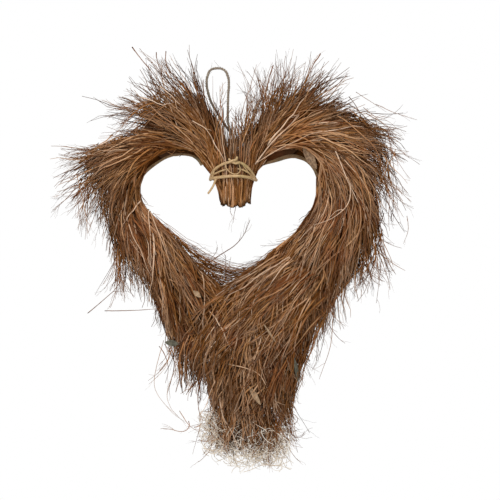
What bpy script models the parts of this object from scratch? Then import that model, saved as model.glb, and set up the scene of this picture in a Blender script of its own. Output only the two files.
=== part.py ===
"""Root heart wreath: a bent cane hoop dressed with bunches of fine roots, tied at the neck.

Frame: metres, +Z up, front towards -Y. The origin is where the inside of the hanging loop bears on its hook.
The wreath hangs in the XZ plane. "Left" and "right" are as seen from the front, and a "drop" is a depth below
the origin.
"""

import math
import random
from dataclasses import dataclass

import bmesh
import bpy
from mathutils import Vector

COLLECTION = "root_heart_wreath"
HELPERS = "root_heart_wreath_cutters"

# Hoop: two round lobes and two straight arms that meet in a rounded point.
HOOP_DIAMETER = 0.0065
LOBE_RADIUS = 0.0391
LOBE_SPACING = 0.1180
LOBE_DROP = 0.1254
HOOP_AXIS_X = 0.0126
ARM_LEAN = 45.0
POINT_BEND_RADIUS = 0.0120
HOOP_END_ANGLE = {"left": 38.0, "right": 48.0}

# Gaps between neighbouring pieces.
HOOP_CLEARANCE = 0.0007
BUNCH_GAP = 0.0006
TIE_CLEARANCE = 0.0020
FLAKE_CLEARANCE = 0.0018

# Neck: the butt ends of both crown bunches, and the stub that they leave below the tie.
NECK_AXIS_X = 0.0184
NECK_HALF_WIDTH = 0.0240
NECK_HALF_DEPTH = 0.0200
NECK_TOP_DROP = 0.1043
NECK_FOOT_DROP = 0.1250
STUB_HALF_WIDTH = 0.0165
STUB_HALF_DEPTH = 0.0150
STUB_END_DROP = 0.1420

# Tail: both last bunches hang side by side along a line that drifts to the right.
TAIL_LENGTH = 0.1540
TAIL_DRIFT = 0.0190
TAIL_TOP_CLEARANCE = 0.0035

# Root mass: depth from its middle plane to the front and to the flatter back.
MASS_MIDDLE_Y = -0.0110
CROWN_FRONT_DEPTH = 0.0200
LOBE_FRONT_DEPTH = 0.0300
ARM_FRONT_DEPTH = 0.0370
TAIL_FRONT_DEPTH = 0.0220
LOBE_SHARE = 0.30
ARM_SHARE = 0.80
BACK_DEPTH = 0.0160
INNER_LIP = 0.0022
TIP_DEPTH = 0.0120
SHINGLE_SWELL = 0.24

# Tufts: the spread root tips that leave the outer edge, the front and the foot of the tail.
TUFT_PITCH = 0.0150
TUFT_LEAST_PITCH = 0.0110
TUFT_INSET = 0.0012
TUFT_WAIST = 0.0020
TUFT_BEND_SHARE = 0.50
TUFT_CURL = 10.0
TUFT_JITTER = 4.0
EDGE_TUFT_LIFT = 14.0
FRONT_TUFT_LIFT = 27.0
FRONT_TUFT_LENGTH = 0.0260
FOOT_TUFT_LENGTH = 0.0120
PEG_LENGTH = 0.0030

# Cane tie: two turns round the neck that meet at its flanks, a lapped end on top and a loose end.
TIE_DIAMETER = 0.0031
TIE_FLANK_DROP = 0.1170
TIE_UPPER_RISE = 0.0210
TIE_LOWER_RISE = -0.0060
TIE_TURN_STEP = 0.0011
TIE_STEPS = 22
LAP_LENGTH = 0.0120
LOOSE_END_LENGTH = 0.0170

# Hanging loop: one stiff twisted length whose two legs run down between the crown bunches.
LOOP_DIAMETER = 0.0031
LOOP_FOOT_DROP = 0.1060
LEG_GAP = 0.0006
LOOP_LEGS_MEET_DROP = 0.0720
LOOP_ROUTE = (
    (0.0116, 0.0559),
    (0.0118, 0.0274),
    (0.0124, 0.0116),
    (0.0084, 0.0010),
    (0.0000, -LOOP_DIAMETER / 2),
    (-0.0079, 0.0010),
    (-0.0110, 0.0116),
    (-0.0100, 0.0221),
    (-0.0066, 0.0333),
    (0.0002, 0.0457),
    (0.0090, 0.0592),
)

FLAKE_THICKNESS = 0.0010

Y_AXIS = Vector((0.0, 1.0, 0.0))
SIDES = ("left", "right")

# Columns over a section, from the inner edge to the outer: share of the width, and shares of the depth in the
# open mass, in the neck, whose outer side is the flat where both crown bunches meet, and in the tail, whose
# inner side is flat in the same way.
COLUMNS = (0.0, 0.18, 0.42, 0.68, 0.88, 1.0)
OPEN_PROFILE = (0.42, 0.84, 1.00, 0.84, 0.54, 0.22)
NECK_PROFILE = (0.20, 0.57, 0.81, 0.95, 0.99, 1.0)
TAIL_PROFILE = (0.92, 1.0, 1.0, 0.84, 0.54, 0.22)
LAST = len(COLUMNS) - 1
NOTCH_ANGLES = (62.0, 0.0, -62.0)

# Faces of a section's rim, counted from the inner front corner.
FRONT_LIP = 0
FRONT_INNER = 1
FRONT_MIDDLE = 2
FRONT_OUTER = 3
FRONT_EDGE = 4
OUTER_FRONT = 5
OUTER_BACK = 6

# Segments of a crown bunch along its neck, and further ones whose back stays bare where the loop's legs pass.
NECK_SEGMENTS = 6
LOOP_PASSES = 3

ROOT_COLOUR = (0.150, 0.075, 0.040)
CANE_COLOUR = (0.520, 0.340, 0.160)
HOOP_COLOUR = (0.130, 0.090, 0.055)
LOOP_COLOUR = (0.190, 0.150, 0.120)


@dataclass(frozen=True)
class Station:
    """How the root mass stands off its line at one share of that line's length.

    reach is the distance to where the dense tips end, lean the angle of that way out from the line's outward
    normal, sweep the angle of the root tips from it, both in degrees towards the tail, and tuft their length.
    """

    share: float
    reach: float
    lean: float
    sweep: float
    tuft: float


HOOP_STATIONS = {
    "left": (
        Station(0.000, 0.0500, 0.0, 8.0, 0.020),
        Station(0.014, 0.0640, 31.0, 34.0, 0.028),
        Station(0.036, 0.0810, 35.0, 42.0, 0.040),
        Station(0.111, 0.0790, 36.0, 44.0, 0.044),
        Station(0.159, 0.0710, 33.0, 48.0, 0.038),
        Station(0.205, 0.0570, 27.0, 52.0, 0.028),
        Station(0.234, 0.0570, 29.0, 54.0, 0.026),
        Station(0.284, 0.0740, 25.0, 54.0, 0.028),
        Station(0.326, 0.0790, 18.0, 52.0, 0.028),
        Station(0.401, 0.0560, 10.0, 50.0, 0.036),
        Station(0.443, 0.0470, 6.0, 50.0, 0.034),
        Station(0.521, 0.0640, 10.0, 44.0, 0.034),
        Station(0.671, 0.0720, 20.0, 48.0, 0.034),
        Station(0.760, 0.0800, 20.0, 50.0, 0.024),
        Station(1.000, 0.1040, 20.0, 44.0, 0.026),
    ),
    "right": (
        Station(0.000, 0.0400, -7.0, 4.0, 0.020),
        Station(0.014, 0.0500, 16.0, 24.0, 0.028),
        Station(0.034, 0.0660, 26.0, 32.0, 0.044),
        Station(0.092, 0.0860, 30.0, 40.0, 0.040),
        Station(0.150, 0.0850, 31.0, 50.0, 0.030),
        Station(0.200, 0.0860, 28.0, 54.0, 0.028),
        Station(0.284, 0.0930, 19.0, 54.0, 0.030),
        Station(0.369, 0.0760, 6.0, 54.0, 0.030),
        Station(0.412, 0.0740, 1.0, 54.0, 0.024),
        Station(0.507, 0.0850, -11.0, 50.0, 0.024),
        Station(0.662, 0.0900, -1.0, 50.0, 0.028),
        Station(0.861, 0.1010, 2.0, 46.0, 0.032),
        Station(1.000, 0.1140, 5.0, 38.0, 0.032),
    ),
}

TAIL_STATIONS = {
    "left": (
        Station(0.00, 0.1050, 66.0, 68.0, 0.024),
        Station(0.50, 0.0740, 60.0, 68.0, 0.026),
        Station(1.00, 0.0445, 32.0, 60.0, 0.016),
    ),
    "right": (
        Station(0.00, 0.1150, 53.0, 86.0, 0.030),
        Station(0.50, 0.0880, 49.0, 78.0, 0.028),
        Station(1.00, 0.0460, 22.0, 72.0, 0.026),
    ),
}

# Where each bunch ends on its side: a share of the hoop's half or, past 1, of the tail.
BUNCH_ENDS = {
    "left": {
        "crown_bunch": 0.212,
        "lobe_bunch": 0.425,
        "side_bunch": 0.640,
        "upper_arm_bunch": 0.830,
        "lower_arm_bunch": 1.200,
        "tail_bunch": 2.000,
    },
    "right": {
        "crown_bunch": 0.165,
        "lobe_bunch": 0.400,
        "side_bunch": 0.610,
        "upper_arm_bunch": 0.810,
        "lower_arm_bunch": 1.200,
        "tail_bunch": 2.000,
    },
}


@dataclass(frozen=True)
class Flake:
    """A leaf or bark flake caught on a bunch: where it lies on the bunch's front, its size and its turn."""

    name: str
    bunch: str
    along: float
    column: int
    length: float
    width: float
    turn: float
    colour: tuple


STRAW_COLOUR = (0.420, 0.290, 0.160)
BARK_COLOUR = (0.300, 0.190, 0.110)
LEAF_COLOUR = (0.165, 0.155, 0.115)
FLAKES = (
    Flake("tan_leaf", "right_tail_bunch", 0.42, FRONT_INNER, 0.0270, 0.0060, -62.0, STRAW_COLOUR),
    Flake("straw", "right_lower_arm_bunch", 0.60, FRONT_MIDDLE, 0.0210, 0.0024, -64.0, STRAW_COLOUR),
    Flake("bark_flake", "right_lobe_bunch", 0.30, FRONT_LIP, 0.0230, 0.0120, -60.0, BARK_COLOUR),
    Flake("pale_flake", "left_lower_arm_bunch", 0.30, FRONT_INNER, 0.0130, 0.0050, 20.0, STRAW_COLOUR),
    Flake("grey_leaf", "left_lower_arm_bunch", 0.15, FRONT_EDGE, 0.0160, 0.0070, 8.0, LEAF_COLOUR),
    Flake("pointed_leaf", "right_lower_arm_bunch", 0.72, FRONT_EDGE, 0.0250, 0.0042, -80.0, LEAF_COLOUR),
)


def clear_scene():
    """Empties the file's scene."""
    for item in list(bpy.data.objects):
        bpy.data.objects.remove(item, do_unlink=True)


def make_collection(name):
    """Makes a collection in the scene."""
    made = bpy.data.collections.new(name)
    bpy.context.scene.collection.children.link(made)
    return made


def material(name, colour, roughness):
    """A plain Principled material with the piece's own colour."""
    made = bpy.data.materials.new(name)
    made.use_nodes = True
    shader = made.node_tree.nodes["Principled BSDF"]
    shader.inputs["Base Color"].default_value = (*colour, 1.0)
    shader.inputs["Roughness"].default_value = roughness
    shader.inputs["Metallic"].default_value = 0.0
    made.diffuse_color = (*colour, 1.0)
    return made


def blend(low, high, weight):
    """The value a share of the way from low to high."""
    return low + (high - low) * weight


def ease(value):
    """0 to 1 with soft ends, held outside that range."""
    held = min(max(value, 0.0), 1.0)
    return held * held * (3.0 - 2.0 * held)


def station_at(stations, share):
    """The station at a share, on a smooth run between its neighbours."""
    for low, high in zip(stations, stations[1:]):
        if share <= high.share:
            break
    weight = ease((share - low.share) / (high.share - low.share))
    return Station(
        share,
        blend(low.reach, high.reach, weight),
        blend(low.lean, high.lean, weight),
        blend(low.sweep, high.sweep, weight),
        blend(low.tuft, high.tuft, weight),
    )


def turned(normal, tangent, degrees):
    """The direction that many degrees from the normal towards the tangent."""
    angle = math.radians(degrees)
    return normal * math.cos(angle) + tangent * math.sin(angle)


def smooth_route(points, steps):
    """A smooth run of points through the route's own ones."""
    route = [points[0], *points, points[-1]]
    run = []
    for a, b, c, d in zip(route, route[1:], route[2:], route[3:]):
        for step in range(steps):
            t = step / steps
            run.append(
                0.5
                * (
                    b * 2.0
                    + (c - a) * t
                    + (a * 2.0 - b * 5.0 + c * 4.0 - d) * t * t
                    + (b * 3.0 - a - c * 3.0 + d) * t * t * t
                )
            )
    return [*run, points[-1]]


class HalfHoop:
    """The hoop's centre line on one side, from its end at the neck to where the point's bend starts."""

    def __init__(self, side):
        self.sign = -1.0 if side == "left" else 1.0
        self.start = math.radians(HOOP_END_ANGLE[side])
        self.tangent_turn = math.radians(180.0 + ARM_LEAN)
        self.bend_turn = math.radians(90.0 - ARM_LEAN)
        self.arc = LOBE_RADIUS * (self.tangent_turn - self.start)
        leave = LOBE_SPACING / 2 - LOBE_RADIUS * math.cos(self.tangent_turn)
        setback = POINT_BEND_RADIUS * math.tan(self.bend_turn)
        self.length = self.arc + leave / math.sin(math.radians(ARM_LEAN)) - setback

    def place(self, along):
        """The point at a length along the line, with the outward normal and the tangent there."""
        turn = min(self.start + along / LOBE_RADIUS, self.tangent_turn)
        normal = Vector((-self.sign * math.cos(turn), 0.0, math.sin(turn)))
        tangent = Vector((self.sign * math.sin(turn), 0.0, math.cos(turn)))
        centre = Vector((HOOP_AXIS_X + self.sign * LOBE_SPACING / 2, MASS_MIDDLE_Y, -LOBE_DROP))
        point = centre + normal * LOBE_RADIUS + tangent * max(0.0, along - self.arc)
        return point, normal, tangent

    def point_bend(self, steps):
        """The bend at the heart's point, from this arm's end to the middle."""
        end, normal, tangent = self.place(self.length)
        centre = end - normal * POINT_BEND_RADIUS
        points = []
        for step in range(1, steps + 1):
            turn = self.bend_turn * step / steps
            arm = normal * math.cos(turn) + tangent * math.sin(turn)
            points.append(centre + arm * POINT_BEND_RADIUS)
        return points


@dataclass
class Section:
    """One cross section of the root mass, in the plane of the Y axis and its own way out."""

    origin: Vector
    out: Vector
    growth: Vector
    reach: float
    front: float
    back: float
    profile: tuple
    lip: float
    notch: float
    notch_stretch: float
    bulge: float
    tips: Vector
    tuft: float

    def edge(self):
        """The middle of the outer edge."""
        return self.origin + self.out * self.reach

    def ring(self, shift):
        """The rim, from the inner front corner over the front to the outer edge, and back along the rear."""
        start = self.origin + self.growth * shift
        front = []
        back = []
        for share, depth in zip(COLUMNS, self.profile):
            at = start + self.out * blend(-self.lip, self.reach, share)
            front.append(at - Y_AXIS * self.front * depth)
            back.append(at + Y_AXIS * self.back * depth)
        outer = start + self.out * (self.reach + self.bulge)
        inner = []
        for degrees in NOTCH_ANGLES:
            angle = math.radians(degrees)
            if self.notch > 0.0:
                deep = self.notch * math.cos(angle) * self.notch_stretch
                side = self.notch * math.sin(angle)
            else:
                deep = -self.lip
                side = self.front * self.profile[0] * math.sin(angle) / 2
            inner.append(start + self.out * deep + Y_AXIS * side)
        return [*front, outer, *reversed(back), *inner]


class RootSide:
    """The root mass on one side: its sections from the stub's end over the hoop to the foot of the tail."""

    def __init__(self, side):
        self.side = side
        self.sign = -1.0 if side == "left" else 1.0
        self.hoop = HalfHoop(side)
        tail_drop = HOOP_DIAMETER / 2 + TAIL_TOP_CLEARANCE
        self.tail_top = self.hoop.point_bend(1)[-1] - Vector((0.0, 0.0, tail_drop))
        self.tail_way = Vector((TAIL_DRIFT, 0.0, -TAIL_LENGTH)).normalized()
        self.tail_run = math.hypot(TAIL_DRIFT, TAIL_LENGTH)
        self.tail_out = Vector((self.sign * -self.tail_way.z, 0.0, self.sign * self.tail_way.x))

    def neck_section(self, drop):
        """A level section of this side's half of the neck or the stub."""
        down = (drop - NECK_FOOT_DROP) / (STUB_END_DROP - NECK_FOOT_DROP)
        taper = ease(down)
        half_width = blend(NECK_HALF_WIDTH, STUB_HALF_WIDTH, taper)
        half_depth = blend(NECK_HALF_DEPTH, STUB_HALF_DEPTH, taper)
        legs = drop < LOOP_FOOT_DROP + LOOP_DIAMETER * 2
        flat = LOOP_DIAMETER / 2 + LEG_GAP if legs else BUNCH_GAP / 2
        out = Vector((-self.sign, 0.0, 0.0))
        return Section(
            origin=Vector((NECK_AXIS_X + self.sign * half_width, MASS_MIDDLE_Y, -drop)),
            out=out,
            growth=Vector((0.0, 0.0, 1.0)),
            reach=half_width - flat,
            front=half_depth,
            back=half_depth,
            profile=NECK_PROFILE,
            lip=0.0,
            notch=0.0,
            notch_stretch=1.0,
            bulge=0.0,
            tips=Vector((0.0, 0.0, 1.0)),
            tuft=0.0,
        )

    def hoop_section(self, share):
        """The section that stands on the hoop at a share of this half's length."""
        station = station_at(HOOP_STATIONS[self.side], share)
        point, normal, tangent = self.hoop.place(share * self.hoop.length)
        out = turned(normal, tangent, station.lean)
        opened = ease((share - 0.004) / 0.045)
        profile = tuple(blend(a, b, opened) for a, b in zip(NECK_PROFILE, OPEN_PROFILE))
        if share < LOBE_SHARE:
            front = blend(CROWN_FRONT_DEPTH, LOBE_FRONT_DEPTH, ease(share / LOBE_SHARE))
        else:
            down = (share - LOBE_SHARE) / (ARM_SHARE - LOBE_SHARE)
            front = blend(LOBE_FRONT_DEPTH, ARM_FRONT_DEPTH, ease(down))
        return Section(
            origin=point,
            out=out,
            growth=turned(tangent, -normal, station.lean),
            reach=station.reach - TIP_DEPTH,
            front=front,
            back=blend(NECK_HALF_DEPTH, BACK_DEPTH, opened),
            profile=profile,
            lip=INNER_LIP,
            notch=HOOP_DIAMETER / 2 + HOOP_CLEARANCE,
            notch_stretch=1.0 / math.cos(math.radians(station.lean)),
            bulge=0.002 * opened,
            tips=turned(normal, tangent, station.sweep),
            tuft=station.tuft,
        )

    def tail_section(self, share):
        """The section at a share of the tail's length, flat against the other side's."""
        station = station_at(TAIL_STATIONS[self.side], share)
        out = turned(self.tail_out, self.tail_way, station.lean)
        return Section(
            origin=self.tail_top + self.tail_way * self.tail_run * share + self.tail_out * BUNCH_GAP / 2,
            out=out,
            growth=turned(self.tail_way, -self.tail_out, station.lean),
            reach=station.reach - TIP_DEPTH,
            front=blend(ARM_FRONT_DEPTH, TAIL_FRONT_DEPTH, ease(share)),
            back=BACK_DEPTH,
            profile=TAIL_PROFILE,
            lip=0.0,
            notch=0.0,
            notch_stretch=1.0,
            bulge=0.002,
            tips=turned(self.tail_out, self.tail_way, station.sweep),
            tuft=station.tuft,
        )

    def section(self, share):
        """The section at a share of the hoop's half or, past 1, of the tail."""
        if share <= 1.0:
            return self.hoop_section(share)
        return self.tail_section(share - 1.0)

    def shares(self, low, high):
        """Shares from low to high whose outer edges lie about one tuft pitch apart."""
        fine = [blend(low, high, step / 60) for step in range(61)]
        edges = [self.section(share).edge() for share in fine]
        run = [0.0]
        for a, b in zip(edges, edges[1:]):
            run.append(run[-1] + (b - a).length)
        count = max(1, round(run[-1] / TUFT_PITCH))
        picked = [low]
        for step in range(1, count):
            target = run[-1] * step / count
            after = next(i for i, length in enumerate(run) if length >= target)
            weight = (target - run[after - 1]) / (run[after] - run[after - 1])
            picked.append(blend(fine[after - 1], fine[after], weight))
        return [*picked, high]

    def bunches(self):
        """Each bunch's name and its sections, from its butt to its tips."""
        start = 0.0
        made = {}
        for name, end in BUNCH_ENDS[self.side].items():
            if start < 1.0 < end:
                places = self.shares(start, 1.0) + self.shares(1.0001, end)
            else:
                places = self.shares(start, end)
            sections = [self.section(share) for share in places]
            if name == "crown_bunch":
                drops = (STUB_END_DROP, blend(STUB_END_DROP, NECK_FOOT_DROP, 0.5), NECK_FOOT_DROP)
                neck = [*drops, blend(NECK_FOOT_DROP, NECK_TOP_DROP, 0.4), NECK_TOP_DROP]
                sections = [*map(self.neck_section, neck), *sections]
            made[f"{self.side}_{name}"] = (sections, places)
            start = end
        return made


def swell_bunch(sections, from_neck):
    """Raises a bunch's front towards its tips, so that it stands proud of the next one's butt."""
    count = len(sections) - 1
    for i, section in enumerate(sections):
        if from_neck:
            section.front *= 1.0 + SHINGLE_SWELL / 2 * ease((i - NECK_SEGMENTS) / (count - NECK_SEGMENTS))
        else:
            section.front *= 1.0 + SHINGLE_SWELL * (i / count - 0.5)


def cap_faces(bm, ring):
    """Closes a section with a front and a back row of faces, and returns the rows."""
    front = ring[: LAST + 1]
    outer = ring[LAST + 1]
    back = list(reversed(ring[LAST + 2 : 2 * LAST + 3]))
    notch_back, notch_middle, notch_front = ring[2 * LAST + 3 :]
    middle = []
    for a, b in zip(front[1:-1], back[1:-1]):
        middle.append(bm.verts.new((a.co + b.co) / 2))
    row = [notch_middle, *middle, outer]
    faces = []
    for j in range(LAST):
        near = [front[j], front[j + 1], row[j + 1], row[j]]
        far = [back[j], row[j], row[j + 1], back[j + 1]]
        if j == 0:
            near.append(notch_front)
            far.insert(1, notch_back)
        faces.append(bm.faces.new(near))
        faces.append(bm.faces.new(far))
    return faces


def grow_tuft(bm, face, way, length, waist, curl):
    """Draws one bent, pointed tuft out of a face."""
    shortest = min(edge.calc_length() for edge in face.edges)
    inset = min(TUFT_INSET, 0.25 * shortest)
    bmesh.ops.inset_individual(bm, faces=[face], thickness=inset, use_even_offset=True)
    root = face.calc_center_median()
    waist_at = root + way * length * TUFT_BEND_SHARE
    drawn = bmesh.ops.extrude_discrete_faces(bm, faces=[face])["faces"][0]
    for vert in drawn.verts:
        arm = vert.co - root
        arm -= way * arm.dot(way)
        vert.co = waist_at + arm.normalized() * waist
    poked = bmesh.ops.poke(bm, faces=[drawn])
    poked["verts"][0].co = waist_at + curl * length * (1.0 - TUFT_BEND_SHARE)


def grow_peg(bm, face, way, length):
    """Draws one blunt cut end out of a face."""
    bmesh.ops.inset_individual(bm, faces=[face], thickness=TUFT_INSET / 2, use_even_offset=True)
    drawn = bmesh.ops.extrude_discrete_faces(bm, faces=[face])["faces"][0]
    bmesh.ops.translate(bm, verts=drawn.verts, vec=way * length)


def tuft_sources(name, segment, segments, neck_segments):
    """The rim faces of one segment that carry tufts."""
    if segment < neck_segments:
        return ()
    sources = [OUTER_FRONT]
    if name.endswith("tail_bunch") and segment == segments - 1:
        return sources
    if neck_segments == 0 or segment >= neck_segments + LOOP_PASSES:
        sources.append(OUTER_BACK)
    if segment % 2 == 0:
        sources.append(FRONT_EDGE)
    if segment >= segments - 2 and not name.endswith("tail_bunch"):
        sources.append(FRONT_MIDDLE if segment % 2 else FRONT_OUTER)
    return sources


def build_bunch(name, sections, colour_material, parts):
    """One bunch: a lofted body, tufts along its edge and front, and at its free end tufts or cut ends."""
    rng = random.Random(name)
    crown = name.endswith("crown_bunch")
    foot = name.endswith("tail_bunch")
    swell_bunch(sections, crown)
    count = len(sections)
    bm = bmesh.new()
    rings = []
    for i, section in enumerate(sections):
        shift = BUNCH_GAP / 2 if i == 0 else 0.0
        if i == count - 1:
            shift = -BUNCH_GAP / 2
        rings.append([bm.verts.new(point) for point in section.ring(shift)])
    size = len(rings[0])
    rim = []
    for near, far in zip(rings, rings[1:]):
        strip = []
        for k in range(size):
            after = (k + 1) % size
            strip.append(bm.faces.new((near[k], near[after], far[after], far[k])))
        rim.append(strip)
    first_cap = cap_faces(bm, rings[0])
    last_cap = cap_faces(bm, rings[-1])
    bmesh.ops.recalc_face_normals(bm, faces=bm.faces)
    neck_segments = NECK_SEGMENTS if crown else 0
    for i, faces in enumerate(rim):
        low, high = sections[i], sections[i + 1]
        if (high.edge() - low.edge()).length < TUFT_LEAST_PITCH:
            continue
        for k in tuft_sources(name, i, len(rim), neck_segments):
            way = (low.tips + high.tips).normalized()
            across = way.cross(Y_AXIS)
            length = (low.tuft + high.tuft) / 2
            turn = rng.uniform(-TUFT_JITTER, TUFT_JITTER)
            lift = EDGE_TUFT_LIFT
            if k in (FRONT_MIDDLE, FRONT_OUTER, FRONT_EDGE):
                lift = FRONT_TUFT_LIFT
                length = FRONT_TUFT_LENGTH
            if k == OUTER_BACK:
                lift = -lift
            length *= rng.uniform(0.8, 1.2)
            way = turned(turned(way, across, turn), -Y_AXIS, lift)
            curl = turned(way, low.growth, rng.uniform(0.0, TUFT_CURL)).normalized()
            grow_tuft(bm, faces[k], way, length, TUFT_WAIST, curl)
    if foot:
        for face in last_cap:
            way = (sections[-1].tips + sections[-1].growth).normalized()
            way = turned(way, -Y_AXIS, rng.uniform(-TUFT_JITTER, TUFT_JITTER))
            length = FOOT_TUFT_LENGTH * rng.uniform(0.5, 1.2)
            grow_tuft(bm, face, way, length, TUFT_WAIST, way)
    if crown:
        for face in first_cap:
            grow_peg(bm, face, Vector((0.0, 0.0, -1.0)), PEG_LENGTH * rng.uniform(0.3, 1.6))
    bmesh.ops.recalc_face_normals(bm, faces=bm.faces)
    return finish_mesh(name, bm, colour_material, parts, 50.0)


def finish_mesh(name, bm, colour_material, collection, sharp_angle):
    """Turns a bmesh into a named object of the collection."""
    mesh = bpy.data.meshes.new(name)
    bm.to_mesh(mesh)
    bm.free()
    mesh.materials.append(colour_material)
    mesh.shade_smooth()
    mesh.set_sharp_from_angle(angle=math.radians(sharp_angle))
    made = bpy.data.objects.new(name, mesh)
    collection.objects.link(made)
    return made


def tube(name, points, diameter, resolution, closed, colour_material, collection):
    """A round bar along a run of points, as a mesh with closed ends."""
    curve = bpy.data.curves.new(name, "CURVE")
    curve.dimensions = "3D"
    curve.bevel_depth = diameter / 2
    curve.bevel_resolution = resolution
    curve.use_fill_caps = True
    spline = curve.splines.new("POLY")
    spline.points.add(len(points) - 1)
    for slot, point in zip(spline.points, points):
        slot.co = (*point, 1.0)
    spline.use_cyclic_u = closed
    drawn = bpy.data.objects.new(name, curve)
    bpy.context.scene.collection.objects.link(drawn)
    bpy.context.view_layer.update()
    evaluated = drawn.evaluated_get(bpy.context.evaluated_depsgraph_get())
    mesh = bpy.data.meshes.new_from_object(evaluated)
    bpy.data.objects.remove(drawn, do_unlink=True)
    bpy.data.curves.remove(curve)
    bm = bmesh.new()
    bm.from_mesh(mesh)
    bpy.data.meshes.remove(mesh)
    bmesh.ops.remove_doubles(bm, verts=bm.verts, dist=0.00002)
    bmesh.ops.recalc_face_normals(bm, faces=bm.faces)
    return finish_mesh(name, bm, colour_material, collection, 50.0)


def fuse(target, others, helpers):
    """Joins other shapes to a piece by Boolean union."""
    for other in others:
        other.hide_render = True
        other.display_type = "WIRE"
        union = target.modifiers.new(f"join {other.name}", "BOOLEAN")
        union.operation = "UNION"
        union.solver = "EXACT"
        union.object = other
        helpers.objects.link(other)
        for user in list(other.users_collection):
            if user != helpers:
                user.objects.unlink(other)


def build_hoop(sides, colour_material, parts):
    """The bent cane, through the same stations as the bunches that sit on it."""
    run = []
    for side in SIDES:
        root = sides[side]
        shares = sorted({share for _, places in root.bunches().values() for share in places if share <= 1.0})
        half = [root.hoop.place(share * root.hoop.length)[0] for share in shares]
        half += root.hoop.point_bend(4)
        run.append(half)
    left, right = run
    return tube("heart_hoop", [*left, *reversed(right[:-1])], HOOP_DIAMETER, 1, False, colour_material, parts)


def tie_turn(rise, back_rise, drop):
    """One closed turn of the tie, laid on the neck's oval."""
    stand_off = TIE_CLEARANCE + TIE_DIAMETER / 2
    points = []
    for step in range(TIE_STEPS):
        angle = 2.0 * math.pi * step / TIE_STEPS
        forward = math.cos(angle)
        lift = rise * forward if forward > 0.0 else -back_rise * forward
        points.append(
            Vector(
                (
                    NECK_AXIS_X + (NECK_HALF_WIDTH + stand_off) * math.sin(angle),
                    MASS_MIDDLE_Y - (NECK_HALF_DEPTH + stand_off) * forward,
                    -drop + lift,
                )
            )
        )
    return points


def build_tie(colour_material, parts, helpers):
    """The cane tie: two turns, the lapped end at the top of the front and the loose end at the lower left."""
    upper = tie_turn(TIE_UPPER_RISE, TIE_LOWER_RISE, TIE_FLANK_DROP)
    lower = tie_turn(TIE_LOWER_RISE, TIE_UPPER_RISE * 0.4, TIE_FLANK_DROP + TIE_TURN_STEP)
    tie = tube("cane_tie", upper, TIE_DIAMETER, 1, True, colour_material, parts)
    second = tube("second turn", lower, TIE_DIAMETER, 1, True, colour_material, parts)
    top = upper[0]
    lap = [
        top + Vector((-0.45 * LAP_LENGTH, -0.0012, 0.0000)),
        top + Vector((0.00, -0.0016, 0.0012)),
        top + Vector((0.40 * LAP_LENGTH, -0.0016, 0.0004)),
    ]
    lapped = tube("lapped end", lap, TIE_DIAMETER * 0.95, 1, False, colour_material, parts)
    flank = lower[-TIE_STEPS // 6]
    loose = [
        flank + Vector((0.0015, 0.0000, 0.0005)),
        flank + Vector((-0.0025, -0.0020, -0.0035)),
        flank + Vector((-0.55 * LOOSE_END_LENGTH, -0.0030, -0.95 * LOOSE_END_LENGTH)),
    ]
    hanging = tube("loose end", loose, TIE_DIAMETER * 0.9, 1, False, colour_material, parts)
    fuse(tie, (second, lapped, hanging), helpers)
    return tie


def build_loop(colour_material, parts):
    """The hanging loop, from one foot between the crown bunches over its crown to the other foot."""
    apart = (LOOP_DIAMETER + LEG_GAP) / 2
    right_leg = [
        Vector((NECK_AXIS_X, -apart, -LOOP_FOOT_DROP)),
        Vector((NECK_AXIS_X, -apart, -(LOOP_FOOT_DROP + LOOP_LEGS_MEET_DROP) / 2)),
        Vector((NECK_AXIS_X, -apart, -LOOP_LEGS_MEET_DROP)),
    ]
    left_leg = [Vector((point.x, apart, point.z)) for point in reversed(right_leg)]
    count = len(LOOP_ROUTE) - 1
    over = []
    for i, (x, drop) in enumerate(LOOP_ROUTE):
        over.append(Vector((x, blend(-apart, apart, i / count), -drop)))
    points = smooth_route([*right_leg, *over, *left_leg], 3)
    return tube("hanging_loop", points, LOOP_DIAMETER, 1, False, colour_material, parts)


def build_flake(flake, bunches, parts):
    """A thin curled leaf or flake, laid on the face of its bunch that it names."""
    sections = bunches[flake.bunch][0]
    segment = int(flake.along * (len(sections) - 1))
    if flake.column == FRONT_EDGE:
        segment |= 1
    low = sections[segment].ring(0.0)
    high = sections[segment + 1].ring(0.0)
    corners = [low[flake.column], low[flake.column + 1], high[flake.column + 1], high[flake.column]]
    middle = sum(corners, Vector()) / 4
    way_out = (corners[2] - corners[0]).cross(corners[3] - corners[1]).normalized()
    if way_out.y > 0.0:
        way_out.negate()
    angle = math.radians(flake.turn)
    grain = Vector((math.cos(angle), 0.0, math.sin(angle)))
    grain = (grain - way_out * grain.dot(way_out)).normalized()
    across = way_out.cross(grain)
    lift = FLAKE_CLEARANCE + FLAKE_THICKNESS
    bm = bmesh.new()
    bmesh.ops.create_grid(bm, x_segments=6, y_segments=2, size=0.5)
    for vert in bm.verts:
        along, side = vert.co.x, vert.co.y
        width = math.sqrt(max(0.04, 1.0 - (2.0 * along) ** 2))
        raised = lift + 0.06 * flake.length * (2.0 * along) ** 2
        vert.co = middle + grain * along * flake.length + way_out * raised
        vert.co += across * side * flake.width * width
    made = finish_mesh(flake.name, bm, material(flake.name, flake.colour, 0.8), parts, 50.0)
    thick = made.modifiers.new("thickness", "SOLIDIFY")
    thick.thickness = FLAKE_THICKNESS
    thick.offset = 0.0
    thick.use_even_offset = True
    return made


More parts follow.
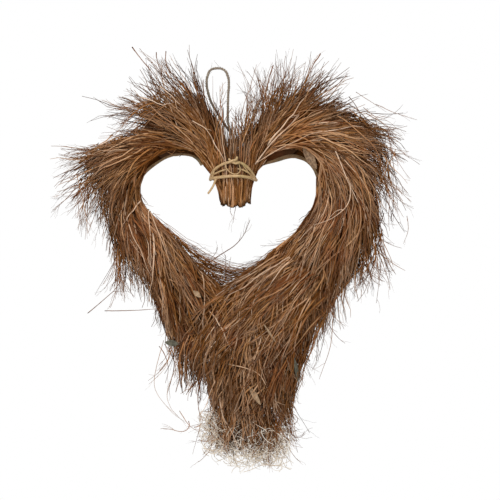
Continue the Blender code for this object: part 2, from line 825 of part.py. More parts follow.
def main():
    """Builds every piece of the wreath."""
    clear_scene()
    parts = make_collection(COLLECTION)
    helpers = make_collection(HELPERS)
    sides = {side: RootSide(side) for side in SIDES}
    roots = material("roots", ROOT_COLOUR, 0.85)
    bunches = {}
    for side in SIDES:
        bunches.update(sides[side].bunches())
    for name, (sections, _) in bunches.items():
        build_bunch(name, sections, roots, parts)
    build_hoop(sides, material("hoop cane", HOOP_COLOUR, 0.7), parts)
    build_tie(material("tie cane", CANE_COLOUR, 0.55), parts, helpers)
    build_loop(material("twisted loop", LOOP_COLOUR, 0.8), parts)
    for flake in FLAKES:
        build_flake(flake, bunches, parts)


main()
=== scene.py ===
"""Looks of the root heart wreath: loose fine roots, bark hoop, cane tie, twisted loop and dry leaves.

Frame: metres, +Z up, front towards -Y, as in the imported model. "Along" runs from the stub under the tie over
the hoop to the foot of the tail, and "across" from the heart's hole to the outer edge. Most plans are made in
the wreath's own plane, as (x, z) pairs.
"""

import logging
import math
from dataclasses import dataclass, field
from enum import Enum

import bmesh
import bpy
import numpy as np
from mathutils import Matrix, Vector


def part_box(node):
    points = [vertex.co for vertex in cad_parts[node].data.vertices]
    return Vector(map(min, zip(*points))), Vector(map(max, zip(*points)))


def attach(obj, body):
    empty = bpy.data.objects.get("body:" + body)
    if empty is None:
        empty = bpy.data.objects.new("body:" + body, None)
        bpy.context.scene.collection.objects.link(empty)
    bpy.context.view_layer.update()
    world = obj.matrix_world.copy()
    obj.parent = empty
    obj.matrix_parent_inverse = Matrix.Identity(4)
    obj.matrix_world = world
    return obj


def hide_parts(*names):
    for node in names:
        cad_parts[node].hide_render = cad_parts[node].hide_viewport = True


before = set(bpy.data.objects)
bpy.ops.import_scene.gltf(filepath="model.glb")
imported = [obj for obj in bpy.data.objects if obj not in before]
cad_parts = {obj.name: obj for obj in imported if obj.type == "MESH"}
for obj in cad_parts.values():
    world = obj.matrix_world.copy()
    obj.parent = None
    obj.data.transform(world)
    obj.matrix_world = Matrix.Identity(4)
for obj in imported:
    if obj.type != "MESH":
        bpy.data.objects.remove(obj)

LOG = logging.getLogger("root_heart_wreath")
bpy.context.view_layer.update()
BODY = "root"
ROOT_MAP = "OFBake"

Array = np.ndarray
Rng = np.random.Generator
Tree = bpy.types.NodeTree
Socket = bpy.types.NodeSocket
Material = bpy.types.Material
Colour = tuple[float, float, float]

# Plans of gaps, single roots, tufts, bridges and cane ends are written in millimetres.
MM = 0.001

# The tones that roots may have, on the map's second axis.
DARKEST, PALEST = 0.13, 0.99

# The turn from each strand to the next one, so that no two flats line up, and the angle that stays sharp.
GOLDEN_TURN = 2.399963
SHARP_ANGLE = math.radians(75.0)

# How much of the map's height a single cane's girth takes.
CANE_STRIP = 0.9

# The box round the imported model inside which every point is held.
LOW_CORNER = np.array((-0.1840, -0.0600, -0.4340))
HIGH_CORNER = np.array((0.2200, 0.0145, 0.0310))

# How thick a bunch is at columns from its inner to its outer edge, as shares of its depth.
COLUMNS = np.array((0.0, 0.18, 0.42, 0.68, 0.88, 1.0))
NECK_PROFILE = np.array((0.20, 0.57, 0.81, 0.95, 0.99, 1.0))
OPEN_PROFILE = np.array((0.60, 0.88, 1.00, 0.90, 0.66, 0.40))
TAIL_PROFILE = np.array((0.92, 1.00, 1.00, 0.88, 0.62, 0.36))

# The columns of a sheet's table.
INNER, OUTER, FLOW_IN, FLOW_OUT = slice(0, 2), slice(2, 4), slice(4, 6), slice(6, 8)
FRONT, BACK, TUFT, BARE = 8, 9, 10, 11
PROFILE = slice(12, 18)


class Side(Enum):
    """A side of the heart, as seen from the front."""

    LEFT = "left"
    RIGHT = "right"

    @property
    def sign(self) -> float:
        """-1 on the left and 1 on the right."""
        return -1.0 if self is Side.LEFT else 1.0


class Layer(Enum):
    """Where in the thickness of a bunch a group of roots lies: low and high depth share, front positive."""

    FRONT = (0.50, 1.05)
    REAR = (-1.05, -0.45)
    RIM = (-0.85, 0.80)


# Small helpers


def unit(vectors: Array) -> Array:
    """Scales vectors to length 1."""
    return vectors / np.maximum(np.linalg.norm(vectors, axis=-1, keepdims=True), 1e-12)


def eased(values: Array) -> Array:
    """0 to 1 with soft ends, held outside that range."""
    held = np.clip(values, 0.0, 1.0)
    return held * held * (3.0 - 2.0 * held)


def between(first: Array | float, last: Array | float, part: Array | float) -> Array | float:
    """The value that lies that part of the way from the first to the last."""
    return first + (last - first) * part


def turned(vectors: Array, degrees: Array) -> Array:
    """Turns (x, z) vectors by an angle, anticlockwise as seen from the front.

    Args:
        vectors: Pairs, in the last axis.
        degrees: One angle for each pair.

    Returns:
        The turned pairs.
    """
    angle = np.radians(degrees)
    cos, sin = np.cos(angle), np.sin(angle)
    x, z = vectors[..., 0], vectors[..., 1]
    return np.stack((x * cos - z * sin, x * sin + z * cos), axis=-1)


def leaning(normal: Array, tangent: Array, degrees: Array) -> Array:
    """The directions that many degrees from the normals towards the tangents."""
    angle = np.radians(degrees)[..., None]
    return normal * np.cos(angle) + tangent * np.sin(angle)


def crossed(a: Array, b: Array) -> Array:
    """The plane cross product of (x, z) pairs."""
    return a[..., 0] * b[..., 1] - a[..., 1] * b[..., 0]


def at_rows(table: Array, rows: Array) -> Array:
    """Reads a table between its rows, held at its ends."""
    low = np.clip(rows.astype(int), 0, len(table) - 2)
    return between(table[low], table[low + 1], np.clip(rows - low, 0.0, 1.0)[..., None])


def at_steps(lines: Array, places: Array) -> Array:
    """Reads each line, one a row, between its steps at places of its own."""
    low = np.clip(places.astype(int), 0, lines.shape[1] - 2)
    line = np.arange(len(lines))[:, None]
    return between(lines[line, low], lines[line, low + 1], (places - low)[..., None])


def smooth_run(points: Array, count: int) -> Array:
    """A smooth run of points through given ones.

    Args:
        points: The points to pass, one a row.
        count: How many points to return, evenly spaced over the given ones' numbering.

    Returns:
        The run, one point a row.
    """
    padded = np.vstack((points[:1], points, points[-1:]))
    place = np.linspace(0.0, len(points) - 1.0, count)
    low = np.minimum(place.astype(int), len(points) - 2)
    t = (place - low)[:, None]
    a, b, c, d = padded[low], padded[low + 1], padded[low + 2], padded[low + 3]
    return 0.5 * (
        2.0 * b + (c - a) * t + (2.0 * a - 5.0 * b + 4.0 * c - d) * t**2 + (3.0 * b - a - 3.0 * c + d) * t**3
    )


def bulge(share: Array, middle: float, width: float, height: float) -> Array:
    """A soft rise of that height round one place."""
    return height * np.exp(-(((share - middle) / width) ** 2))


def evenly(line: Array, count: int) -> tuple[Array, Array]:
    """Points spaced evenly along a line, and their shares of its length."""
    run = np.concatenate(([0.0], np.cumsum(np.linalg.norm(np.diff(line, axis=0), axis=1))))
    at = np.linspace(0.0, run[-1], count)
    return np.stack([np.interp(at, run, column) for column in line.T], axis=-1), at / run[-1]


def lifted(flat: Array, y: Array) -> Array:
    """The points at (x, z) places and their depths."""
    return np.stack((flat[..., 0], y, flat[..., 1]), axis=-1)


def radii(low: float, high: float, count: int, taper: Array, rng: Rng) -> Array:
    """Strands' radii at their rings: each has its own thickness, and all have one taper."""
    return rng.uniform(low, high, count)[:, None] * taper


def held_in(route: Array) -> Array:
    """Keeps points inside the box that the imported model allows."""
    return np.clip(route, LOW_CORNER, HIGH_CORNER)


# Lines and sections that the roots follow


@dataclass(frozen=True)
class HoopLine:
    """The centre line of the bent cane hoop on one side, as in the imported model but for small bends.

    Each bend is the share of the line at its middle, its width as a share, and how far it stands out.
    """

    side: Side
    end_angle: float
    bends: tuple = ()
    lobe_radius: float = 0.0391
    lobe_spacing: float = 0.1180
    lobe_drop: float = 0.1254
    axis_x: float = 0.0126
    arm_lean: float = 45.0
    bend_radius: float = 0.0120

    @property
    def start(self) -> float:
        """The turn at which the hoop's end lies, in radians."""
        return math.radians(self.end_angle)

    @property
    def tangent_turn(self) -> float:
        """The turn at which the lobe runs into the straight arm, in radians."""
        return math.radians(180.0 + self.arm_lean)

    @property
    def arc(self) -> float:
        """The length of the lobe."""
        return self.lobe_radius * (self.tangent_turn - self.start)

    @property
    def length(self) -> float:
        """The length from the hoop's end to where the point's bend starts."""
        leave = self.lobe_spacing / 2 - self.lobe_radius * math.cos(self.tangent_turn)
        setback = self.bend_radius * math.tan(math.radians(90.0 - self.arm_lean))
        return self.arc + leave / math.sin(math.radians(self.arm_lean)) - setback

    def place(self, along: Array) -> tuple[Array, Array, Array]:
        """The points at lengths along the line, with the outward normals and the tangents there."""
        turn = np.minimum(self.start + along / self.lobe_radius, self.tangent_turn)
        sign = self.side.sign
        normal = np.stack((-sign * np.cos(turn), np.sin(turn)), axis=-1)
        tangent = np.stack((sign * np.sin(turn), np.cos(turn)), axis=-1)
        centre = np.array((self.axis_x + sign * self.lobe_spacing / 2, -self.lobe_drop))
        straight = np.maximum(0.0, along - self.arc)[..., None]
        share = along / self.length
        out = sum(bulge(share, *bend) for bend in self.bends)
        return centre + normal * (self.lobe_radius + out)[..., None] + tangent * straight, normal, tangent

    def point_bend(self, steps: int) -> Array:
        """The bend at the heart's point, from this arm's end to the middle."""
        end, normal, tangent = self.place(np.array([self.length]))
        centre = end - normal * self.bend_radius
        turn = np.radians(90.0 - self.arm_lean) * np.arange(1, steps + 1)[:, None] / steps
        return centre + (normal * np.cos(turn) + tangent * np.sin(turn)) * self.bend_radius


@dataclass(frozen=True)
class Station:
    """How the roots stand off the hoop or the tail's line at one share of its length.

    reach is the distance to where the dense tips end, lean the angle of that way out from the outward normal
    and sweep that of the tips, both in degrees towards the tail, and tuft the length of the loose tips.
    """

    share: float
    reach: float
    lean: float
    sweep: float
    tuft: float


HOOP_STATIONS = {
    Side.LEFT: (
        Station(0.000, 0.0534, 0.0, 30.0, 0.020),
        Station(0.014, 0.0640, 28.0, 54.0, 0.028),
        Station(0.036, 0.0830, 35.0, 58.0, 0.044),
        Station(0.111, 0.0820, 36.0, 60.0, 0.050),
        Station(0.159, 0.0740, 33.0, 64.0, 0.050),
        Station(0.205, 0.0570, 27.0, 66.0, 0.048),
        Station(0.234, 0.0570, 29.0, 58.0, 0.028),
        Station(0.284, 0.0770, 25.0, 52.0, 0.042),
        Station(0.326, 0.0800, 18.0, 50.0, 0.050),
        Station(0.401, 0.0560, 10.0, 50.0, 0.036),
        Station(0.443, 0.0470, 6.0, 50.0, 0.034),
        Station(0.521, 0.0620, 10.0, 50.0, 0.028),
        Station(0.671, 0.0710, 20.0, 50.0, 0.026),
        Station(0.760, 0.0800, 20.0, 50.0, 0.024),
        Station(1.000, 0.1040, 20.0, 44.0, 0.026),
    ),
    Side.RIGHT: (
        Station(0.000, 0.0470, -7.0, 4.0, 0.020),
        Station(0.014, 0.0500, 16.0, 24.0, 0.028),
        Station(0.034, 0.0670, 26.0, 36.0, 0.046),
        Station(0.092, 0.0870, 30.0, 45.0, 0.046),
        Station(0.150, 0.0870, 31.0, 53.0, 0.044),
        Station(0.200, 0.0860, 28.0, 54.0, 0.028),
        Station(0.284, 0.0930, 19.0, 54.0, 0.030),
        Station(0.369, 0.0780, 6.0, 54.0, 0.034),
        Station(0.412, 0.0780, 1.0, 54.0, 0.030),
        Station(0.507, 0.0850, -11.0, 50.0, 0.024),
        Station(0.662, 0.0900, -1.0, 50.0, 0.028),
        Station(0.861, 0.1010, 2.0, 46.0, 0.032),
        Station(1.000, 0.1140, 5.0, 38.0, 0.032),
    ),
}

TAIL_STATIONS = {
    Side.LEFT: (
        Station(0.00, 0.1050, 66.0, 68.0, 0.024),
        Station(0.50, 0.0740, 60.0, 68.0, 0.026),
        Station(1.00, 0.0445, 32.0, 60.0, 0.016),
    ),
    Side.RIGHT: (
        Station(0.00, 0.1150, 53.0, 86.0, 0.030),
        Station(0.50, 0.0880, 49.0, 78.0, 0.028),
        Station(1.00, 0.0430, 22.0, 74.0, 0.022),
    ),
}


@dataclass(frozen=True)
class Spread:
    """The sizes that both sides' roots share: neck, stub, tail and depths."""

    neck_axis_x: float = 0.0172
    neck_half_width: float = 0.0212
    neck_half_depth: float = 0.0200
    neck_top_drop: float = 0.1043
    neck_foot_drop: float = 0.1165
    stub_top_drop: float = 0.1262
    stub_half_width: float = 0.0150
    stub_shift: float = 0.0020
    stub_half_depth: float = 0.0155
    stub_end_drop: float = 0.1462
    tail_length: float = 0.1540
    tail_drift: float = 0.0190
    tail_top_gap: float = 0.00675
    middle_y: float = -0.0110
    crown_front: float = 0.0200
    lobe_front: float = 0.0300
    arm_front: float = 0.0370
    tail_front: float = 0.0220
    lobe_share: float = 0.30
    arm_share: float = 0.80
    back: float = 0.0160
    inner_lip: float = 0.0022
    tip_depth: float = 0.0120


SPREAD = Spread()
HOOP_LINES = {
    Side.LEFT: HoopLine(
        Side.LEFT,
        38.0,
        ((0.045, 0.050, 0.0030), (0.250, 0.110, -0.0054), (0.610, 0.050, -0.0012), (0.880, 0.100, 0.0036)),
    ),
    Side.RIGHT: HoopLine(
        Side.RIGHT,
        48.0,
        ((0.070, 0.085, -0.0062), (0.410, 0.090, -0.0022), (0.640, 0.090, 0.0052), (0.900, 0.100, 0.0028)),
    ),
}


@dataclass
class Rows:
    """Sections of the root mass, one a row, all in the wreath's plane but the depths."""

    inner: Array
    outer: Array
    flow_in: Array
    flow_out: Array
    front: Array
    back: Array
    tuft: Array
    bare: Array
    profile: Array
    share: Array

    def joined(self, other: "Rows") -> "Rows":
        """These rows with the other ones after them."""
        names = self.__dataclass_fields__
        return Rows(**{name: np.concatenate((getattr(self, name), getattr(other, name))) for name in names})


@dataclass(frozen=True)
class Gap:
    """A place at the wreath's edge that most roots leave open.

    Its corners lie in the wreath's plane, in millimetres and clockwise as seen from the front, and cut is the
    share of the roots that stop short of it.
    """

    corners: tuple
    cut: float

    def holds(self, points: Array) -> Array:
        """Whether (x, z) points lie inside."""
        inside = np.ones(points.shape[:-1], dtype=bool)
        corners = np.array(self.corners) * MM
        for start, end in zip(corners, np.roll(corners, -1, axis=0)):
            inside &= crossed(end - start, points - start) < 0.0
        return inside


GAPS = (
    Gap(((-120.0, -60.0), (-82.0, -56.0), (-80.0, -62.6), (-109.6, -65.6)), 0.96),
    Gap(((-180.0, -70.0), (-123.0, -56.0), (-109.6, -65.6), (-139.1, -78.0), (-167.0, -92.5)), 0.85),
    Gap(((-175.0, -135.0), (-139.0, -148.0), (-120.0, -170.0), (-118.0, -217.0), (-170.0, -220.0)), 0.93),
    Gap(((129.6, -16.9), (192.9, -27.4), (198.2, -48.5), (161.3, -41.1), (134.9, -32.7)), 0.90),
    Gap(((176.0, -33.0), (230.0, -33.0), (230.0, -150.0), (176.0, -140.0)), 0.45),
    Gap(((119, -270), (160, -270), (160, -440), (79, -440), (82, -355), (96, -312)), 0.99),
    Gap(((-140, -217), (-112, -217), (-106, -255), (-140, -255)), 0.90),
    Gap(((-140, -255), (-74, -255), (-44, -307), (-27, -333), (-140, -340)), 0.84),
    Gap(((-100, -338), (-24, -331), (-9.5, -342), (-3.5, -362), (-1, -380), (-3, -440), (-100, -440)), 0.94),
    Gap(((-50, -409), (120, -409), (120, -450), (-50, -450)), 0.93),
    Gap(((-50, -425), (120, -425), (120, -470), (-50, -470)), 1.00),
)


@dataclass
class RootSheet:
    """The whole spread of roots on one side, from the stub's end to the foot of the tail.

    Its table holds the sections' edges, flow directions and depths, so that a root can be followed over it.
    """

    side: Side
    neck_count: int = 22
    hoop_count: int = 220
    tail_count: int = 120
    inner_flow: float = 85.0
    flow_power: float = 0.85
    blend: int = 4
    least_width: float = 0.008
    least_area: float = 2e-6
    most_rows: float = 6.0
    most_across: float = 0.2
    wobble_pace: float = 0.52
    grid: tuple[int, int] = (60, 20)
    table: Array = field(init=False)
    slope: Array = field(init=False)
    share: Array = field(init=False)

    def __post_init__(self) -> None:
        """Fills the table."""
        rows = self.neck_rows().joined(self.hoop_rows()).joined(self.tail_rows())
        edges = np.hstack((rows.inner, rows.outer, rows.flow_in, rows.flow_out))
        reach, ends = self.blend, np.arange(len(edges))
        smooth = sum(edges[np.clip(ends + shift, 0, len(edges) - 1)] for shift in range(-reach, reach + 1))
        smooth /= 2.0 * reach + 1.0
        smooth[:reach], smooth[-reach:] = edges[:reach], edges[-reach:]
        numbers = np.stack((rows.front, rows.back, rows.tuft, rows.bare), axis=-1)
        self.table = np.hstack((smooth, numbers, rows.profile))
        self.slope = np.gradient(smooth[:, :4], axis=0)
        self.share = rows.share

    @property
    def last(self) -> int:
        """The number of the last row."""
        return len(self.table) - 1

    @property
    def dense_end(self) -> float:
        """The share at which the roots over the tail's foot grow thin."""
        return 1.46 if self.side is Side.LEFT else 1.62

    @property
    def bare_depth(self) -> float:
        """How far over the hoop the roots start along the top of the hole."""
        return 0.0066 if self.side is Side.LEFT else 0.0112

    def row_of(self, share: float) -> float:
        """The row at a share: -1 at the stub's end, 0 at the hoop's, 1 at the point, 2 at the tail's foot."""
        return float(np.interp(share, self.share, np.arange(len(self.share))))

    def neck_rows(self) -> Rows:
        """The level sections of this side's half of the neck and the stub."""
        size = SPREAD
        count = self.neck_count
        drop = np.linspace(size.stub_end_drop, size.neck_top_drop, count)
        taper = eased((drop - size.neck_foot_drop) / (size.stub_top_drop - size.neck_foot_drop))
        half_width = between(size.neck_half_width, size.stub_half_width, taper)
        half_depth = between(size.neck_half_depth, size.stub_half_depth, taper)
        up = np.tile((0.0, 1.0), (count, 1))
        axis = size.neck_axis_x + size.stub_shift * taper
        return Rows(
            inner=np.stack((axis + self.side.sign * half_width, -drop), axis=-1),
            outer=np.stack((axis, -drop), axis=-1),
            flow_in=up,
            flow_out=up,
            front=half_depth,
            back=half_depth,
            tuft=np.full(count, 0.03),
            bare=np.zeros(count),
            profile=np.tile(NECK_PROFILE, (count, 1)),
            share=np.linspace(-1.0, -0.05, count),
        )

    def stations(self, stations: tuple[Station, ...], share: Array) -> Array:
        """Reach, lean, sweep and tuft at shares, one row each, on a smooth run between the stations."""
        known = np.array([station.share for station in stations])
        values = np.array([(s.reach, s.lean, s.sweep, s.tuft) for s in stations])
        low = np.clip(np.searchsorted(known, share) - 1, 0, len(known) - 2)
        part = eased((share - known[low]) / (known[low + 1] - known[low]))
        return between(values[low], values[low + 1], part[:, None])

    def hoop_rows(self) -> Rows:
        """The sections that stand on the hoop."""
        size = SPREAD
        share = np.linspace(0.004, 1.0, self.hoop_count)
        line = HOOP_LINES[self.side]
        point, normal, tangent = line.place(share * line.length)
        reach, lean, sweep, tuft = self.stations(HOOP_STATIONS[self.side], share).T
        out = leaning(normal, tangent, lean)
        opened = eased((share - 0.004) / 0.045)
        early = between(size.crown_front, size.lobe_front, eased(share / size.lobe_share))
        down = eased((share - size.lobe_share) / (size.arm_share - size.lobe_share))
        late = between(size.lobe_front, size.arm_front, down)
        start = eased(share / 0.03)[:, None]
        flow_out = unit(between(np.array((0.0, 1.0)), leaning(normal, tangent, sweep), start))
        return Rows(
            inner=point - out * size.inner_lip,
            outer=point + out * (reach - size.tip_depth)[:, None],
            flow_in=leaning(normal, tangent, np.full(len(share), self.inner_flow)),
            flow_out=flow_out,
            front=np.where(share < size.lobe_share, early, late),
            back=between(size.neck_half_depth, size.back, opened),
            tuft=tuft,
            bare=self.bare_depth * eased((share - 0.015) / 0.03) * (1.0 - eased((share - 0.27) / 0.09)),
            profile=between(NECK_PROFILE, OPEN_PROFILE, opened[:, None]),
            share=share,
        )

    def tail_rows(self) -> Rows:
        """The sections of this side's half of the tail."""
        size = SPREAD
        share = np.linspace(0.0, 1.0, self.tail_count)
        way = unit(np.array((size.tail_drift, -size.tail_length)))
        top = HOOP_LINES[self.side].point_bend(1)[-1] - np.array((0.0, size.tail_top_gap))
        out_way = np.array((-self.side.sign * way[1], self.side.sign * way[0]))
        reach, lean, sweep, tuft = self.stations(TAIL_STATIONS[self.side], share).T
        out = leaning(out_way, way, lean)
        line = top + way * math.hypot(size.tail_drift, size.tail_length) * share[:, None]
        opened = eased(share / 0.15)[:, None]
        return Rows(
            inner=line,
            outer=line + out * (reach - size.tip_depth)[:, None],
            flow_in=np.tile(way, (len(share), 1)),
            flow_out=leaning(out_way, way, sweep),
            front=between(size.arm_front, size.tail_front, eased(share)),
            back=np.full(len(share), size.back),
            tuft=tuft,
            bare=np.zeros(len(share)),
            profile=between(OPEN_PROFILE, TAIL_PROFILE, opened),
            share=1.001 + 0.999 * share,
        )

    def spot(self, along: Array, across: Array) -> Array:
        """The (x, z) places at rows and shares across."""
        row = at_rows(self.table, along)
        return between(row[..., INNER], row[..., OUTER], across[..., None])

    def lengthwise(self, along: Array, across: Array) -> Array:
        """How far one row leads on, at rows and shares across."""
        slope = at_rows(self.slope, along)
        return between(slope[..., INNER], slope[..., OUTER], across[..., None])

    def width(self, along: Array) -> Array:
        """The distances from the inner to the outer edge at rows."""
        row = at_rows(self.table, along)
        return np.maximum(np.linalg.norm(row[..., OUTER] - row[..., INNER], axis=-1), self.least_width)

    def depth(self, along: Array, across: Array, layer: Array) -> Array:
        """The y at places of the sheet, for a depth share that is 1 at the front and -1 at the back."""
        row = at_rows(self.table, along)
        held = np.clip(across, 0.0, 1.0)
        low = np.clip(np.searchsorted(COLUMNS, held) - 1, 0, len(COLUMNS) - 2)
        part = (held - COLUMNS[low]) / (COLUMNS[low + 1] - COLUMNS[low])
        profile = row[..., PROFILE]
        near = np.take_along_axis(profile, low[..., None], axis=-1)[..., 0]
        far = np.take_along_axis(profile, low[..., None] + 1, axis=-1)[..., 0]
        thick = np.where(layer > 0.0, row[..., FRONT], row[..., BACK]) * between(near, far, part)
        return SPREAD.middle_y - layer * thick

    def seeds(self, low: float, high: float, count: int, rng: Rng) -> tuple[Array, Array]:
        """Places spread evenly over the area of the rows from low to high.

        Args:
            low: First row.
            high: Last row.
            count: How many places.
            rng: The source of chance.

        Returns:
            Their rows and their shares across.
        """
        row_count, column_count = self.grid
        rows = np.linspace(low, high, row_count, endpoint=False)
        columns = np.linspace(0.0, 1.0, column_count, endpoint=False)
        row_step, column_step = (high - low) / row_count, 1.0 / column_count
        grid_rows, grid_columns = np.meshgrid(rows + row_step / 2, columns + column_step / 2, indexing="ij")
        edges = at_rows(self.table, grid_rows)
        lengthwise = self.lengthwise(grid_rows, grid_columns)
        area = np.abs(crossed(lengthwise, edges[..., OUTER] - edges[..., INNER])).ravel()
        picked = rng.choice(len(area), size=count, p=area / area.sum())
        along = rows[picked // column_count] + rng.random(count) * row_step
        across = columns[picked % column_count] + rng.random(count) * column_step
        return along, across

    def trace(self, seed: "Seeds", step: float, count: int) -> tuple[Array, Array, Array]:
        """Follows the flow from each seed, on over the outer edge in free flight.

        Args:
            seed: The starting places and each root's own drift.
            step: Length of a step, negative towards the butts.
            count: Number of steps.

        Returns:
            The (x, z) points, their rows and shares across, and the step at which each root leaves the sheet.
        """
        along, across = seed.along.copy(), seed.across.copy()
        size = len(along)
        points = np.empty((size, count + 1, 2))
        places = np.empty((size, count + 1, 2))
        left = np.full(size, count + 1)
        spot = self.spot(along, across)
        heading = np.zeros((size, 2))
        for k in range(count + 1):
            points[:, k] = spot
            places[:, k, 0], places[:, k, 1] = along, across
            if step > 0.0:
                free = (across > 1.0) | (along >= seed.end)
            else:
                free = along <= 0.0
            left = np.where(free & (left > k), k, left)
            row = at_rows(self.table, along)
            share = np.clip(across, 0.0, 1.0)[:, None] ** self.flow_power
            flow = unit(between(row[:, FLOW_IN], row[:, FLOW_OUT], share))
            length = k * step
            drift = seed.drift + seed.sway * np.sin(length * seed.pace + seed.phase)
            way = turned(flow, drift)
            wobble = seed.wobble * np.sin(self.wobble_pace * k + 2.0 * seed.phase)
            bend = seed.curl - heading[:, 0] * seed.droop + wobble
            heading = np.where(free[:, None], turned(heading, bend), way) if k else way
            move = heading * step
            lengthwise = self.lengthwise(along, across)
            crosswise = row[:, OUTER] - row[:, INNER]
            area = crossed(lengthwise, crosswise)
            area = np.where(np.abs(area) < self.least_area, np.sign(area + 1e-12) * self.least_area, area)
            rows_on = np.clip(crossed(move, crosswise) / area, -self.most_rows, self.most_rows)
            across_on = np.clip(crossed(lengthwise, move) / area, -self.most_across, self.most_across)
            on = ~free
            floor = (row[:, BARE] + seed.floor) / self.width(along)
            along = np.where(on, along + rows_on, along)
            across = np.where(on, np.maximum(across + across_on, floor), across)
            spot = np.where(on[:, None], self.spot(along, across), spot + move)
        return points, places, left


@dataclass
class Seeds:
    """Starting places on a sheet, with each root's own way of straying from the flow."""

    along: Array
    across: Array
    floor: Array
    end: Array
    drift: Array
    sway: Array
    pace: Array
    phase: Array
    curl: Array
    droop: Array
    wobble: Array


@dataclass
class Strands:
    """Round strands of one ring count, ready to be laid as meshes."""

    route: Array
    radius: Array
    tone: Array

    def __len__(self) -> int:
        """The number of strands."""
        return len(self.route)

    @classmethod
    def single(cls, route: Array, radius: Array, tone: float = 0.5) -> "Strands":
        """One strand on its own."""
        return cls(route[None], radius[None], np.array([tone]))

    def above(self, height: float) -> "Strands":
        """Those of the strands that stay above a height."""
        kept = self.route[..., 2].min(axis=1) > height
        return Strands(self.route[kept], self.radius[kept], self.tone[kept])


# Meshes of strands


@dataclass
class StemTemplate:
    """A round stem of one unit's length, modelled once and laid along every route of its kind.

    Its sides take most of the map's first axis, and its flat ends a small round patch at either end of it.
    """

    sides: int
    rings: int
    side_start: float = 0.008
    end_place: float = 0.004
    end_size: float = 0.002
    ring: Array = field(init=False)
    around: Array = field(init=False)
    corners: Array = field(init=False)
    starts: Array = field(init=False)
    corner_along: Array = field(init=False)
    corner_around: Array = field(init=False)

    def __post_init__(self) -> None:
        """Models the stem and reads its rings and faces."""
        bpy.ops.object.select_all(action="DESELECT")
        bpy.ops.mesh.primitive_cylinder_add(
            vertices=self.sides, radius=1.0, depth=1.0, end_fill_type="NGON", location=(0.0, 0.0, 0.0)
        )
        stem = bpy.context.object
        bpy.ops.object.mode_set(mode="EDIT")
        bpy.ops.mesh.select_mode(type="EDGE")
        bpy.ops.mesh.select_all(action="DESELECT")
        drawn = bmesh.from_edit_mesh(stem.data)
        for edge in drawn.edges:
            edge.select = abs(edge.verts[0].co.z - edge.verts[1].co.z) > 0.5
        bmesh.update_edit_mesh(stem.data)
        if self.rings > 2:
            bpy.ops.mesh.subdivide(number_cuts=self.rings - 2)
        bpy.ops.object.mode_set(mode="OBJECT")
        self.read(stem.data)
        mesh = stem.data
        bpy.data.objects.remove(stem, do_unlink=True)
        bpy.data.meshes.remove(mesh)

    def read(self, mesh: bpy.types.Mesh) -> None:
        """Keeps the stem's vertices as ring numbers and turns, and its faces as corner lists."""
        co = np.array([vert.co[:] for vert in mesh.vertices])
        self.ring = np.rint((co[:, 2] + 0.5) * (self.rings - 1)).astype(int)
        self.around = np.arctan2(co[:, 1], co[:, 0])
        slot = np.rint(self.around / (2.0 * math.pi) * self.sides).astype(int) % self.sides
        corners, starts, along, around = [], [], [], []
        for face in mesh.polygons:
            starts.append(len(corners))
            ids = list(face.vertices)
            slots = slot[ids]
            rings = self.ring[ids]
            if rings.min() == rings.max():
                turn = 2.0 * math.pi * slots / self.sides
                end = self.end_place if rings[0] == 0 else 1.0 - self.end_place
                along.extend(end + self.end_size * np.cos(turn))
                around.extend(0.5 + 0.5 * np.sin(turn))
            else:
                wraps = slots.max() - slots.min() > 1
                along.extend(self.side_start + (1.0 - 2.0 * self.side_start) * rings / (self.rings - 1))
                around.extend(np.where(wraps & (slots == 0), self.sides, slots) / self.sides)
            corners.extend(ids)
        self.corners = np.array(corners)
        self.starts = np.array(starts)
        self.corner_along = np.array(along)
        self.corner_around = np.array(around)


